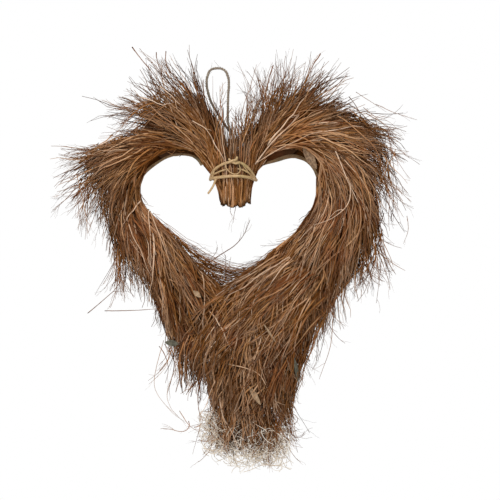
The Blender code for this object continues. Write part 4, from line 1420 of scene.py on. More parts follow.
@dataclass
class RootBunches:
    """The twelve bunches of loose roots, each a piece of its own."""

    finish: RootFinish = field(default_factory=RootFinish)
    lock_size: int = 4
    # The dark loft of painted shade inside each bunch: how far it lies towards the front and the back, and how
    # far across it reaches.
    shade_loft_front: float = 0.60
    shade_loft_back: float = 0.50
    shade_loft_edge: float = 0.68
    fork_share: float = 0.92
    rear_fork_share: float = 0.5
    middle_count: int = 100
    sheets: dict = field(init=False)
    grower: RootGrower = field(init=False)
    rear_grower: RootGrower = field(init=False)
    material: Material = field(init=False)

    def __post_init__(self) -> None:
        """Prepares the sheets, the grower and the finish."""
        self.sheets = {side: RootSheet(side) for side in Side}
        self.grower = RootGrower(StemTemplate(3, 11), StemTemplate(3, 5))
        self.rear_grower = RootGrower(StemTemplate(3, 8), self.grower.rootlet)
        self.material = self.finish.material()

    def core(self, sheet: RootSheet, low: float, high: float, parts: MeshParts) -> None:
        """Lays a dark closed loft well under the loose roots of a bunch: painted shade that stands in for the
        shaded inside of the mass.
        """
        rows = np.linspace(low, high, max(4, int((high - low) / 4)))
        along, across = np.meshgrid(rows, np.linspace(0.03, 1.0, 7), indexing="ij")
        across *= 1.0 - (1.0 - self.shade_loft_edge) * eased((along - sheet.neck_count) / 12.0)
        spot = sheet.spot(along, across)
        layers = (np.full(along.shape, layer) for layer in (self.shade_loft_front, -self.shade_loft_back))
        front, back = (lifted(spot, sheet.depth(along, across, layer)) for layer in layers)
        ring = np.concatenate((front, back[:, ::-1]), axis=1)
        count, size = ring.shape[:2]
        row, k = np.meshgrid(np.arange(count - 1), np.arange(size), indexing="ij")
        first, next_row, after = row * size, (row + 1) * size, (k + 1) % size
        quads = np.stack((first + k, first + after, next_row + after, next_row + k), axis=-1)
        uv_u = np.stack((row, row, row + 1, row + 1), axis=-1) / (count - 1)
        # The loft's map places take the darkest tones, so that it shows as painted shade through the gaps
        # between the roots.
        uv_v = 0.12 + 0.10 * np.stack((k, k + 1, k + 1, k), axis=-1) / size
        if sheet.side is Side.LEFT:
            quads, uv_u, uv_v = quads[..., ::-1], uv_u[..., ::-1], uv_v[..., ::-1]
        quads = quads.reshape(-1, 4)
        uv = np.stack((uv_u.ravel(), uv_v.ravel()), axis=-1)
        caps = [np.arange(size)[::-1], np.arange(size) + (count - 1) * size]
        if sheet.side is Side.LEFT:
            caps = [cap[::-1] for cap in caps]
        patch = np.random.default_rng(1).uniform(0, 0.01, (2 * size, 2))
        cap_uv = np.tile((0.02, 0.15), (2 * size, 1)) + patch
        corners = np.concatenate((quads.ravel(), *caps))
        starts = np.concatenate((np.arange(len(quads)) * 4, len(quads) * 4 + np.array((0, size))))
        parts.add(ring.reshape(-1, 3), corners, starts, np.concatenate((uv, cap_uv)))

    def stems(self, sheet: RootSheet, parts: MeshParts, rng: Rng) -> None:
        """Lays the stout stems that start at the stub's cut end, pass the tie and run out into the fan."""
        template = StemTemplate(5, 14)
        grower = RootGrower(template, self.grower.rootlet, lock_width=0.0004)
        for layer, locks in ((Layer.FRONT, 66), (Layer.REAR, 30)):
            style = RootStyle(
                locks=locks,
                lock_size=1,
                length=(0.10, 0.17),
                butt_radius=(0.0008, 0.0014),
                tip_share=0.32,
                wander=3.0,
                own_wander=1.0,
                sway=2.0,
                wave=0.0005,
                flare=6.0,
                tone=(0.19, 0.72),
                pale=0.03,
                unruly=0.0,
                clump=0.0,
            )
            parts.lay(template, grower.plant(sheet, 1.0, 4.0, style, layer, rng))
        self.middle_stems(sheet.side, parts, rng)

    def middle_stems(self, side: Side, parts: MeshParts, rng: Rng) -> None:
        """Lays the stems in the middle of the neck, from the stub's cut end to the notch between the fans."""
        template, count = self.rear_grower.stem, self.middle_count
        share = np.linspace(0.0, 1.0, template.rings)
        off = side.sign * rng.uniform(-0.0008, 0.0076, count)[:, None]
        top = 0.052 + 0.040 * rng.random((count, 1)) ** 0.55
        astray = rng.normal(0.0, 0.0024, count)[:, None] * share**2
        x = SPREAD.neck_axis_x + off * (1.0 + 0.6 * share**2) + astray
        y = SPREAD.middle_y + rng.uniform(-0.017, 0.015, count)[:, None] * (0.84 + 0.16 * eased(4.0 * share))
        butt = rng.uniform(0.1375, 0.1430, (count, 1))
        z = -butt + (butt - top) * share
        radius = radii(0.0005, 0.0010, count, 1.0 - 0.6 * share, rng)
        parts.lay(template, Strands(np.stack((x, y, z), axis=-1), radius, rng.uniform(0.46, 0.88, count)))

    def bunch(self, side: Side, plan: BunchPlan) -> Strands:
        """Grows one bunch and makes it a piece.

        Args:
            side: Its side.
            plan: Its plan.

        Returns:
            The bunch's front roots, on which loose things can be laid.
        """
        sheet = self.sheets[side]
        seed = sum(ord(letter) * (k + 3) for k, letter in enumerate(side.value + plan.name))
        rng = np.random.default_rng(seed)
        low, high = sheet.row_of(plan.low), sheet.row_of(plan.high)
        parts = MeshParts()
        crown = plan.name == "crown_bunch"
        self.core(sheet, 3.5 if crown else low, min(high, sheet.row_of(sheet.dense_end - 0.08)), parts)
        tone = (0.16 + plan.tone, 0.78 + plan.tone)
        grown = []
        for layer, locks in ((Layer.FRONT, plan.front), (Layer.REAR, plan.rear), (Layer.RIM, plan.rim)):
            style = RootStyle(
                locks=locks * 3 // self.lock_size,
                lock_size=self.lock_size,
                length=plan.length,
                wave=0.0009 * plan.wave,
                tone=tone,
                loose=plan.loose,
                droop=plan.droop,
            )
            rear = layer is Layer.REAR
            grower = self.rear_grower if rear else self.grower
            strands = grower.plant(sheet, low, high, style, layer, rng)
            forks = self.rear_fork_share if rear else self.fork_share
            self.grower.lay(parts, grower.stem, strands, forks, rng)
            grown.append(strands)
        if crown:
            self.stems(sheet, parts, rng)
        name = f"{side.value}_{plan.name}"
        finish_piece(name.replace("bunch", "roots"), parts, self.material, "roots", name)
        return grown[0]

    def build(self) -> list[Strands]:
        """Builds all bunches, and returns their front roots."""
        return [self.bunch(side, plan) for side, plans in BUNCHES.items() for plan in plans]


@dataclass
class FrontCover:
    """The height of the roots' front over the wreath's plane, on which loose strands and leaves are laid."""

    strands: list
    cell: float = 0.003
    low: tuple[float, float] = (-0.20, -0.45)
    shape: tuple[int, int] = (144, 168)
    height: Array = field(init=False)

    def __post_init__(self) -> None:
        """Finds the foremost root in each cell, fills the empty ones and smooths the whole."""
        points = np.concatenate([strands.route.reshape(-1, 3) for strands in self.strands])
        column = ((points[:, (0, 2)] - np.array(self.low)) / self.cell).astype(int)
        column = np.clip(column, 0, np.array(self.shape) - 1)
        height = np.full(self.shape, np.nan)
        order = np.argsort(-points[:, 1])
        height[column[order, 0], column[order, 1]] = points[order, 1]
        for _ in range(60):
            empty = np.isnan(height)
            if not empty.any():
                break
            stack = np.stack(self.neighbours(height))
            there = ~np.isnan(stack)
            total = np.where(there, stack, 0.0).sum(axis=0)
            number = there.sum(axis=0)
            fill = np.where(number > 0, total / np.maximum(number, 1), np.nan)
            height = np.where(empty, fill, height)
        height = np.where(np.isnan(height), SPREAD.middle_y, height)
        for _ in range(2):
            height = (height + sum(self.neighbours(height))) / 5.0
        self.height = height

    def neighbours(self, height: Array) -> list[Array]:
        """The heights of the cells at the four sides of each cell."""
        return [np.roll(height, shift, axis) for axis in (0, 1) for shift in (-1, 1)]

    def at(self, flat: Array) -> Array:
        """The y of the front at (x, z) places."""
        place = (flat - np.array(self.low)) / self.cell - 0.5
        place = np.clip(place, 0.0, np.array(self.shape) - 1.001)
        low = place.astype(int)
        part = place - low
        x, z = low[..., 0], low[..., 1]
        px, pz = part[..., 0], part[..., 1]
        height = self.height
        lower, upper = (between(height[x, z + k], height[x + 1, z + k], px) for k in (0, 1))
        return between(lower, upper, pz)


@dataclass(frozen=True)
class Stray:
    """One loose strand that shows by itself.

    Its way in the wreath's plane, how far it stands off the roots below and its radius are in millimetres.
    forks is its number of rootlets.
    """

    points: tuple
    off: float
    radius: float
    tone: float
    forks: float = 1.0


STRAYS = (
    Stray(((-4.5, -75), (2, -86), (9.5, -98)), 1.2, 1.1, 0.93),
    Stray(((-26, -55), (-11, -64), (-4.5, -75)), 1.4, 1.0, 0.90),
    Stray(((-81, -30), (-66, -35), (-53, -41)), 1.5, 1.0, 0.97),
    Stray(((-60, -18), (-49, -28), (-39, -38)), 1.5, 1.0, 0.96),
    Stray(((40, -101), (56, -80), (74, -62), (86, -50)), 1.4, 1.1, 0.94),
    Stray(((40, -100), (62, -87), (88, -74), (108, -66)), 1.4, 0.9, 0.90),
    Stray(((140, -122), (137, -142), (124, -156), (101, -165)), 2.2, 0.9, 0.92),
    Stray(((124, -86), (133, -108), (148, -141)), 1.6, 1.1, 0.94),
    Stray(((-72, -148), (-70, -175), (-69, -208)), 1.4, 1.0, 0.90),
    Stray(((-80, -139), (-90, -152), (-98, -164)), 1.4, 1.0, 0.92),
    Stray(((-70, -150), (-56, -186), (-48, -204)), 1.4, 0.9, 0.88),
    Stray(((48, -278), (32, -325), (18, -360)), 1.6, 1.0, 0.86),
    Stray(((60, -280), (50, -310), (46, -330)), 1.6, 0.9, 0.84),
    Stray(((12, -310), (42, -320), (58, -344), (82, -380)), 1.8, 0.9, 0.86),
    Stray(((-89, 23), (-80, 10), (-64, -10), (-46, -36)), 0.4, 0.8, 0.40, 3.0),
    Stray(((-64, 18), (-62, 5), (-50, -26)), 0.4, 0.7, 0.38, 3.0),
    Stray(((-54, 19), (-53, 4), (-42, -24)), 0.4, 0.7, 0.42, 3.0),
    Stray(((109, 16), (101, 2), (86, -27)), 0.4, 0.9, 0.40, 4.0),
    Stray(((59, 4), (54, -12), (48, -34)), 0.6, 0.9, 0.36),
    Stray(((-136, -257), (-118, -242), (-105, -229), (-92, -208)), 0.5, 0.6, 0.34),
    Stray(((-118, -255), (-92, -254.5), (-64, -253), (-35, -249)), 0.5, 0.6, 0.34),
    Stray(((-56, -286), (-64, -315), (-64, -340), (-48, -361), (-33, -372)), 0.0, 0.4, 0.62),
    Stray(((-43, -315), (-52, -340), (-49, -356), (-33, -374)), 0.0, 0.4, 0.62),
    Stray(((-16, -318), (-20, -345), (-18, -375), (-25, -405)), 0.4, 0.5, 0.40),
    Stray(((-13, -209), (3, -196.5), (20, -185), (29, -174), (34.5, -159)), 0.0, 0.8, 0.30, 4.0),
    Stray(((9, -223), (9.4, -210), (9, -196)), 0.0, 0.7, 0.30, 2.0),
    Stray(((123, -256), (119, -290), (108, -327)), 0.0, 0.6, 0.55),
    Stray(((200, -155), (201, -170), (196, -185)), 0.0, 0.5, 0.45),
    Stray(((20, -138), (19, -150), (16.5, -162)), -12.0, 0.5, 0.40, 2.0),
    Stray(((15, -138), (14, -147), (15, -154)), -12.0, 0.5, 0.40, 2.0),
)


@dataclass(frozen=True)
class TuftPlan:
    """A tuft of wiry roots that hangs off the wreath's edge.

    The middle and the spread of its starts, and the lengths of its roots, are in millimetres. Its heading and
    fan are in degrees, anticlockwise from +X. The number of roots, their droop and their curl follow.
    """

    middle: tuple[float, float]
    spread: tuple[float, float]
    heading: float
    fan: float
    length: tuple[float, float]
    count: int
    droop: float = 1.5
    curl: float = 20.0


TUFTS = (
    TuftPlan((-103, -204), (4.5, 6), -93.0, 6.0, (24, 44), 34, 0.5, 10.0),
    TuftPlan((-130, -128), (12, 12), -104.0, 12.0, (22, 50), 44, 2.0, 12.0),
    TuftPlan((-108, -150), (6, 12), -96.0, 9.0, (20, 44), 22, 1.5, 8.0),
    TuftPlan((164, -180), (7, 18), -86.0, 13.0, (24, 40), 46),
    TuftPlan((154, -208), (11, 10), -94.0, 10.0, (16, 32), 44),
    TuftPlan((128, -240), (4, 8), -104.0, 8.0, (16, 30), 14),
    TuftPlan((108, -260), (6, 16), -102.0, 8.0, (20, 36), 24),
    TuftPlan((84, -306), (3, 16), -100.0, 6.0, (18, 36), 18, 1.5, 12.0),
    TuftPlan((74, -360), (3, 12), -94.0, 5.0, (26, 46), 12),
    TuftPlan((30, -384), (26, 10), -88.0, 34.0, (10, 26), 120, 0.0, 60.0),
    TuftPlan((55, -388), (9, 10), -88.0, 10.0, (10, 26), 70, 0.0, 22.0),
    TuftPlan((50, -38), (9, 10), 88.0, 12.0, (24, 44), 26, 0.0),
    TuftPlan((164, -60), (13, 10), -26.0, 12.0, (16, 34), 34, 1.0),
    TuftPlan((179, -110), (6, 18), -72.0, 14.0, (22, 38), 56, 2.0),
    TuftPlan((-139, -90), (11, 5), -166.0, 11.0, (12, 30), 38, 0.0, 9.0),
    TuftPlan((-138, -122), (9, 8), -142.0, 12.0, (14, 32), 30, 1.0, 12.0),
    TuftPlan((-80, -44), (6, 5.5), -165.0, 10.0, (14, 36), 50, 0.2, 24.0),
    TuftPlan((74, -23), (15, 7), 62.0, 12.0, (10, 26), 46, 0.0),
    TuftPlan((92, -22), (4, 6), 66.0, 5.0, (20, 34), 14, 0.0, 10.0),
    TuftPlan((-40, -302), (4, 16), -66.0, 10.0, (14, 30), 18),
    TuftPlan((33.5, -56), (3, 6), 75.0, 6.0, (18, 52), 30, 0.0, 10.0),
    TuftPlan((27, -60), (5, 4), 98.0, 14.0, (4, 20), 22, 0.0, 12.0),
)


@dataclass(frozen=True)
class BridgePlan:
    """Thin roots that start along a line from a corner and bend as they go, in the wreath's plane.

    run is how far along the line they start. Places, lengths and radii are in millimetres, and heading, fan
    and bend in degrees, anticlockwise from +X.
    """

    corner: tuple[float, float]
    way: tuple[float, float]
    run: tuple[float, float]
    heading: float
    fan: float
    bend: float
    length: tuple[float, float]
    radius: tuple[float, float]
    count: int
    gather: float = 1.3


BRIDGES = (
    BridgePlan((8.5, -230), (0.79, 0.56), (20, 90), 211.0, 7.0, 14.0, (18, 34), (0.24, 0.46), 44, 1.0),
    BridgePlan((-32, -195), (0.70, -0.70), (0, 38), -52.0, 10.0, 8.0, (18, 34), (0.24, 0.44), 46, 1.0),
    BridgePlan((-42, -184), (0.70, -0.70), (0, 40), -26.0, 12.0, 22.0, (16, 34), (0.22, 0.44), 26),
    BridgePlan((-13, -219), (1.00, 0.02), (0, 42), -30.0, 70.0, 0.0, (12, 28), (0.22, 0.40), 26),
    BridgePlan((-8, -236), (1.00, 0.02), (0, 34), 10.0, 50.0, 0.0, (10, 24), (0.35, 0.65), 70),
    BridgePlan((-6, -241), (1.00, 0.05), (0, 32), 190.0, 40.0, 0.0, (14, 30), (0.45, 0.80), 80),
)

# The lines down the left and the right of the tail between which the swept roots run, in millimetres.
SWEEP_LEFT = ((72, -196), (34, -222), (4, -248), (-18, -276), (-28, -306), (-26, -340))
SWEEP_RIGHT = ((128, -232), (112, -262), (92, -300), (76, -338), (66, -366), (58, -390))


@dataclass
class LooseStrands:
    """Strands that show by themselves, roots that sweep over the tail, hanging tufts and fine tangles."""

    bunches: RootBunches
    cover: FrontCover
    sweep_locks: int = 230
    sweep_lock_size: int = 3
    sweep_steps: int = 60
    sweep_rise: float = 0.0070
    sweep_sink: tuple[float, float] = (0.0040, 0.0065)
    sweep_length: float = 0.20
    tuft_root: float = 0.022
    tangle_count: int = 1150
    net_count: int = 96
    net_corner: tuple = ((0.0085, -0.2300), (-0.707, 0.707), (0.816, 0.578))
    net_runs: tuple[float, float] = (0.092, 0.050)
    tangle_depths: tuple[float, float] = (-0.024, 0.006)
    lowest: float = -0.4270
    back_count: int = 130
    back_lowest: float = -0.4120
    foot_line: tuple = (
        (-0.0221, -0.0126, 0.0074, 0.0221, 0.0453, 0.0790),
        (-0.3930, -0.4040, -0.4160, -0.4260, -0.4210, -0.4220),
    )
    foot_top: float = -0.352
    pale: RootFinish = RootFinish(
        "pale root hairs",
        body=((0.00, (0.380, 0.280, 0.190)), (0.35, (0.730, 0.610, 0.470)), (1.00, (0.940, 0.870, 0.760))),
        tips=((0.00, (0.340, 0.250, 0.170)), (0.35, (0.640, 0.540, 0.420)), (1.00, (0.900, 0.840, 0.740))),
        red=(0.480, 0.350, 0.230),
        knot=(0.200, 0.140, 0.090),
    )

    @property
    def grower(self) -> RootGrower:
        """The grower of the bunches."""
        return self.bunches.grower

    def finish(self, name: str, parts: MeshParts) -> None:
        """Makes a mesh a piece with the finish of the bunches."""
        finish_piece(name, parts, self.bunches.material, "roots")

    def strays(self) -> None:
        """Lays the single strands that catch the eye."""
        template = StemTemplate(5, 26)
        rings = template.rings
        rng = np.random.default_rng(77)
        parts = MeshParts()
        taper = 0.75 * (1.0 - 0.6 * np.linspace(0.0, 1.0, rings))
        for stray in STRAYS:
            flat = smooth_run(np.array(stray.points) * MM, rings)
            y = self.cover.at(flat) - (stray.off + stray.radius) * MM
            y = np.convolve(np.pad(y, 3, mode="edge"), np.ones(7) / 7.0, mode="valid")
            bends = smooth_run(rng.normal(0.0, 0.0003, (6, 3)), rings)
            route = lifted(flat, y) + bends + rng.normal(0.0, 0.00005, (rings, 3))
            radius = stray.radius * MM * taper * rng.uniform(0.85, 1.15, rings)
            strand = Strands.single(held_in(route), radius, stray.tone)
            self.grower.lay(parts, template, strand, stray.forks, rng)
        self.finish("stray_roots", parts)

    def sweep(self) -> Strands:
        """Lays the right arm's last roots, which sweep down to the left over the tail, and returns them."""
        rng = np.random.default_rng(91)
        steps, locks = self.sweep_steps, self.sweep_locks
        left, right = (smooth_run(np.array(edge) * MM, steps) for edge in (SWEEP_LEFT, SWEEP_RIGHT))
        lock = np.repeat(np.arange(locks), self.sweep_lock_size)
        count = len(lock)

        def shared(own: float, values: Array) -> Array:
            """A lock's values with each root's own jitter on top."""
            return values[lock] + rng.normal(0.0, own, count)

        start = shared(0.03, rng.uniform(-0.12, 0.62, locks))
        across = shared(0.03, rng.uniform(-0.07, 1.0, locks))
        across_end = across + shared(0.07, rng.normal(-0.04, 0.17, locks))
        run = shared(0.03, rng.uniform(0.30, 0.52, locks))
        share = np.linspace(0.0, 1.0, self.grower.stem.rings)
        at = start[:, None] + run[:, None] * share
        over = between(across[:, None], across_end[:, None], share)
        over = np.where(over > 1.0, 1.0 + 0.25 * (over - 1.0), over)
        over = np.where(over < -0.08, -0.08 + 0.3 * (over + 0.08), over)
        on = np.clip(at, 0.0, 1.0) * (steps - 1.0)
        flat = between(at_rows(left, on), at_rows(right, on), over[..., None])
        flat[..., 1] -= np.maximum(at - 1.0, 0.0) * 0.16
        level = shared(0.06, rng.uniform(0.0, 1.0, locks))
        least, more = self.sweep_sink
        sunk = (least + more * level[:, None]) * eased(share / 0.35)
        y = self.cover.at(flat) + self.sweep_rise - sunk - 0.0018 * share
        route = self.grower.waved(lifted(flat, y), run * self.sweep_length, 0.0012, lock, rng)
        radius = radii(0.00055, 0.00105, count, 1.0 - 0.62 * share**1.2, rng)
        radius = radius * rng.uniform(0.82, 1.18, radius.shape)
        dark, light = rng.uniform(0.15, 0.54, locks), rng.uniform(0.58, 0.84, locks)
        tone = np.where(rng.random(locks) < 0.30, light, dark)[lock]
        # Roots that lie further back, in among the roots below, get darker tones, and those further forward
        # lighter: painted shade.
        tone = tone + 0.22 * (level - 0.5) + rng.normal(0.0, 0.08, count)
        strands = Strands(held_in(route), radius, np.clip(tone, DARKEST, 0.97))
        parts = MeshParts()
        self.grower.lay(parts, self.grower.stem, strands, 0.9, rng)
        self.finish("tail_sweep_roots", parts)
        return strands

    def curled(
        self,
        start: Array,
        heading: Array,
        length: Array,
        curl: float,
        rings: int,
        rng: Rng,
        droop: float = 0.0,
        bend: Array | float = 0.0,
    ) -> Array:
        """Routes that wander in slow curls.

        Args:
            start: Starting points.
            heading: First directions in the wreath's plane, in degrees.
            length: Lengths.
            curl: How strongly they turn, in degrees.
            rings: Points on each route.
            rng: The source of chance.
            droop: How strongly they turn downwards.
            bend: How far each turns anticlockwise over its whole length, in degrees.

        Returns:
            The routes.
        """
        count = len(start)
        route = np.empty((count, rings, 3))
        route[:, 0] = start
        turn = rng.normal(0.0, curl, count) * 3.0 / rings
        dip = rng.normal(0.0, 0.25, count)
        for k in range(1, rings):
            turn = turn * 0.86 + rng.normal(0.0, curl * 1.3 / rings, count)
            heading = heading + turn + bend / rings - droop * np.cos(np.radians(heading))
            dip = dip * 0.9 + rng.normal(0.0, 0.12, count)
            angle = np.radians(heading)
            way = unit(np.stack((np.cos(angle), dip, np.sin(angle)), axis=-1))
            route[:, k] = route[:, k - 1] + way * (length / (rings - 1))[:, None]
        return route

    def tufts(self) -> None:
        """Lays the wiry tufts that hang off the edges."""
        rng = np.random.default_rng(23)
        template = StemTemplate(3, 12)
        parts = MeshParts()
        taper = 1.0 - 0.55 * np.linspace(0.0, 1.0, template.rings)
        for plan in TUFTS:
            astray = rng.normal(0.0, 0.75, (plan.count, 2)) * np.array(plan.spread)
            flat = (np.array(plan.middle) + astray) * MM
            y = SPREAD.middle_y + rng.uniform(-0.020, 0.010, plan.count)
            heading = plan.heading + rng.normal(0.0, plan.fan, plan.count)
            way = np.radians(heading)
            length = rng.uniform(*plan.length, plan.count) * MM + self.tuft_root
            start = lifted(flat - self.tuft_root * np.stack((np.cos(way), np.sin(way)), axis=-1), y)
            route = self.curled(start, heading, length, plan.curl, template.rings, rng, plan.droop)
            route = route[route[..., 2].min(axis=1) > self.lowest]
            radius = radii(0.00030, 0.00056, len(route), taper, rng)
            radius = radius * rng.uniform(0.8, 1.2, radius.shape)
            tone = np.clip(rng.normal(0.44, 0.16, len(route)), DARKEST, 0.8)
            strands = Strands(held_in(route), radius, tone)
            parts.lay(template, strands)
            parts.lay(self.grower.rootlet, self.grower.fork(strands, 2.2, rng).above(self.lowest))
        self.finish("hanging_tufts", parts)

    def foot_tangle(self) -> None:
        """Lays the pale tangle of hair-fine roots at the tail's foot."""
        rng = np.random.default_rng(55)
        template = StemTemplate(3, 9)
        count = self.tangle_count
        x = rng.uniform(-0.020, 0.079, count)
        z = rng.uniform(-0.422, -0.358, count)
        start = np.stack((x, SPREAD.middle_y + rng.uniform(-0.022, 0.012, count), z), axis=-1)
        heading = -90.0 + rng.normal(0.0, 90.0, count)
        route = self.curled(start, heading, rng.uniform(0.008, 0.034, count), 48.0, template.rings, rng)
        x, z = route[..., 0], route[..., 2]
        side = rng.normal(0.0, 0.0018, count)[:, None]
        foot = np.interp(x, *self.foot_line) + rng.normal(0.0, 0.0030, count)[:, None]
        top = self.foot_top - 0.30 * np.maximum(0.0, 0.010 - x) - 0.32 * np.clip(x - 0.012, 0.0, 0.05)
        first, last = self.foot_line[0][0], self.foot_line[0][-1]
        inside = (x > first + side) & (x < last + side) & (z > foot) & (z < top)
        route = route[inside.all(axis=1)]
        count = len(route)
        radius = radii(0.00018, 0.00036, count, np.ones(template.rings), rng)
        parts = MeshParts()
        parts.lay(template, Strands(held_in(route), radius, rng.uniform(0.25, 1.0, count)))
        finish_piece("foot_tangle_roots", parts, self.pale.material(), "roots")

    def back_cover(self) -> None:
        """Lays the roots that cross from side to side over the back of the tail."""
        rng = np.random.default_rng(67)
        template = self.bunches.rear_grower.stem
        count = self.back_count
        z = rng.uniform(-0.375, -0.225, count)
        axis = 0.0150 - SPREAD.tail_drift * (z + 0.237) / SPREAD.tail_length
        x = axis + rng.normal(0.0, 0.016, count)
        start = np.stack((x, rng.uniform(0.0005, 0.0060, count), z), axis=-1)
        heading = -90.0 - (x - 0.022) * 900.0 + rng.normal(0.0, 14.0, count)
        route = self.curled(start, heading, rng.uniform(0.040, 0.085, count), 14.0, template.rings, rng)
        route[..., 1] = start[:, None, 1] + (route[..., 1] - start[:, None, 1]) * 0.12
        route = route[route[..., 2].min(axis=1) > self.back_lowest]
        count = len(route)
        radius = radii(0.0005, 0.0010, count, np.linspace(1.0, 0.4, template.rings), rng)
        parts = MeshParts()
        strands = Strands(held_in(route), radius, rng.uniform(0.16, 0.74, count))
        self.grower.lay(parts, template, strands, 0.6, rng)
        self.finish("tail_back_roots", parts)

    def net(self, rings: int, rng: Rng) -> Strands:
        """The fine net that rounds off the hole's lower corner, bent from one arm's edge to the other's."""
        count = self.net_count
        corner, left_way, right_way = (np.array(pair) for pair in self.net_corner)
        size = rng.uniform(0.12, 1.16, (count, 1))
        left_run = self.net_runs[0] * size * rng.uniform(0.80, 1.10, (count, 1))
        right_run = self.net_runs[1] * size * rng.uniform(0.60, 1.20, (count, 1))
        first = corner + left_way * left_run + rng.normal(0.0, 0.0012, (count, 2))
        last = corner + right_way * right_run + rng.normal(0.0, 0.0012, (count, 2))
        control = corner + rng.normal(0.0, 0.0070, (count, 2)) + np.array((0.0, 0.0020))
        begin = np.where(rng.random(count) < 0.25, rng.uniform(0.1, 0.5, count), 0.0)[:, None]
        end = np.where(rng.random(count) < 0.50, rng.uniform(0.45, 0.9, count), 1.0)[:, None]
        t = between(begin, end, np.linspace(0.0, 1.0, rings))[..., None]
        flat = first[:, None] * (1.0 - t) ** 2 + 2.0 * control[:, None] * t * (1.0 - t) + last[:, None] * t**2
        y = SPREAD.middle_y + rng.uniform(*self.tangle_depths, count)[:, None] * np.ones(rings)
        length = (left_run + right_run)[:, 0]
        route = self.grower.waved(lifted(flat, y), length, 0.0014, np.arange(count), rng)
        radius = radii(0.00019, 0.00038, count, np.linspace(1.0, 0.5, rings), rng)
        return Strands(held_in(route), radius, np.clip(rng.normal(0.34, 0.14, count), DARKEST, 0.8))

    def hole_tangle(self) -> None:
        """Lays the thin roots across the lower corner of the hole, and the knot of roots at its point."""
        rng = np.random.default_rng(31)
        template = StemTemplate(3, 15)
        parts = MeshParts()
        self.grower.lay(parts, template, self.net(template.rings, rng), 0.9, rng)
        for plan in BRIDGES:
            count = plan.count
            run = between(*plan.run, rng.random(count) ** plan.gather) * MM
            flat = np.array(plan.corner) * MM + unit(np.array(plan.way)) * run[:, None]
            flat = flat + rng.normal(0.0, 0.0016, (count, 2))
            start = lifted(flat, SPREAD.middle_y + rng.uniform(*self.tangle_depths, count))
            heading = plan.heading + rng.normal(0.0, plan.fan, count)
            length = rng.uniform(*plan.length, count) * MM
            bend = rng.normal(plan.bend, abs(plan.bend) * 0.35 + 10.0, count)
            route = self.curled(start, heading, length, 12.0, template.rings, rng, 0.0, bend)
            radius = radii(*plan.radius, count, MM * np.linspace(1.0, 0.5, template.rings), rng)
            strands = Strands(held_in(route), radius, rng.uniform(0.16, 0.62, count))
            self.grower.lay(parts, template, strands, 0.8, rng)
        self.finish("hole_tangle_roots", parts)

    def build(self) -> Strands:
        """Builds all the loose strands, and returns those that sweep over the tail."""
        swept = self.sweep()
        self.strays()
        self.tufts()
        self.foot_tangle()
        self.back_cover()
        self.hole_tangle()
        return swept


@dataclass
class HeartHoop:
    """The bent cane under the roots, which shows at the top of both halves of the hole."""

    radius: float = 0.00325
    rings: int = 220
    sides: int = 14
    knots: tuple[float, ...] = (0.07, 0.19, 0.33, 0.49, 0.63, 0.78, 0.91)
    knot_width: float = 0.004
    knot_height: float = 0.14
    bulges: tuple = ((0.122, 0.040, 0.15), (0.940, 0.045, 0.50))
    finish: CaneFinish = CaneFinish(
        "hoop bark",
        dark=(0.120, 0.066, 0.024),
        middle=(0.255, 0.146, 0.062),
        light=(0.270, 0.170, 0.090),
        tint=(0.170, 0.150, 0.078),
        roughness=(0.60, 0.85),
        length=60.0,
        width=9.0,
        tint_amount=0.7,
        bump=0.0006,
    )

    def build(self) -> None:
        """Builds the hoop."""
        halves = []
        for side in Side:
            line = HOOP_LINES[side]
            arm = line.place(np.linspace(0.0, line.length, 70))[0]
            halves.append(np.vstack((arm, line.point_bend(10))))
        line, share = evenly(np.vstack((halves[0], halves[1][-2::-1])), self.rings)
        rng = np.random.default_rng(12)
        route = lifted(line, np.full(self.rings, SPREAD.middle_y))
        swell = sum(bulge(share, knot, self.knot_width, self.knot_height) for knot in self.knots)
        thick = sum(bulge(share, *more) for more in self.bulges)
        radius = self.radius * (0.99 + swell + thick + rng.normal(0.0, 0.012, self.rings))
        parts = MeshParts()
        parts.lay(StemTemplate(self.sides, self.rings), Strands.single(route, radius), CANE_STRIP)
        finish_piece("bark_hoop", parts, self.finish.material(), "hoop_cane", "heart_hoop")


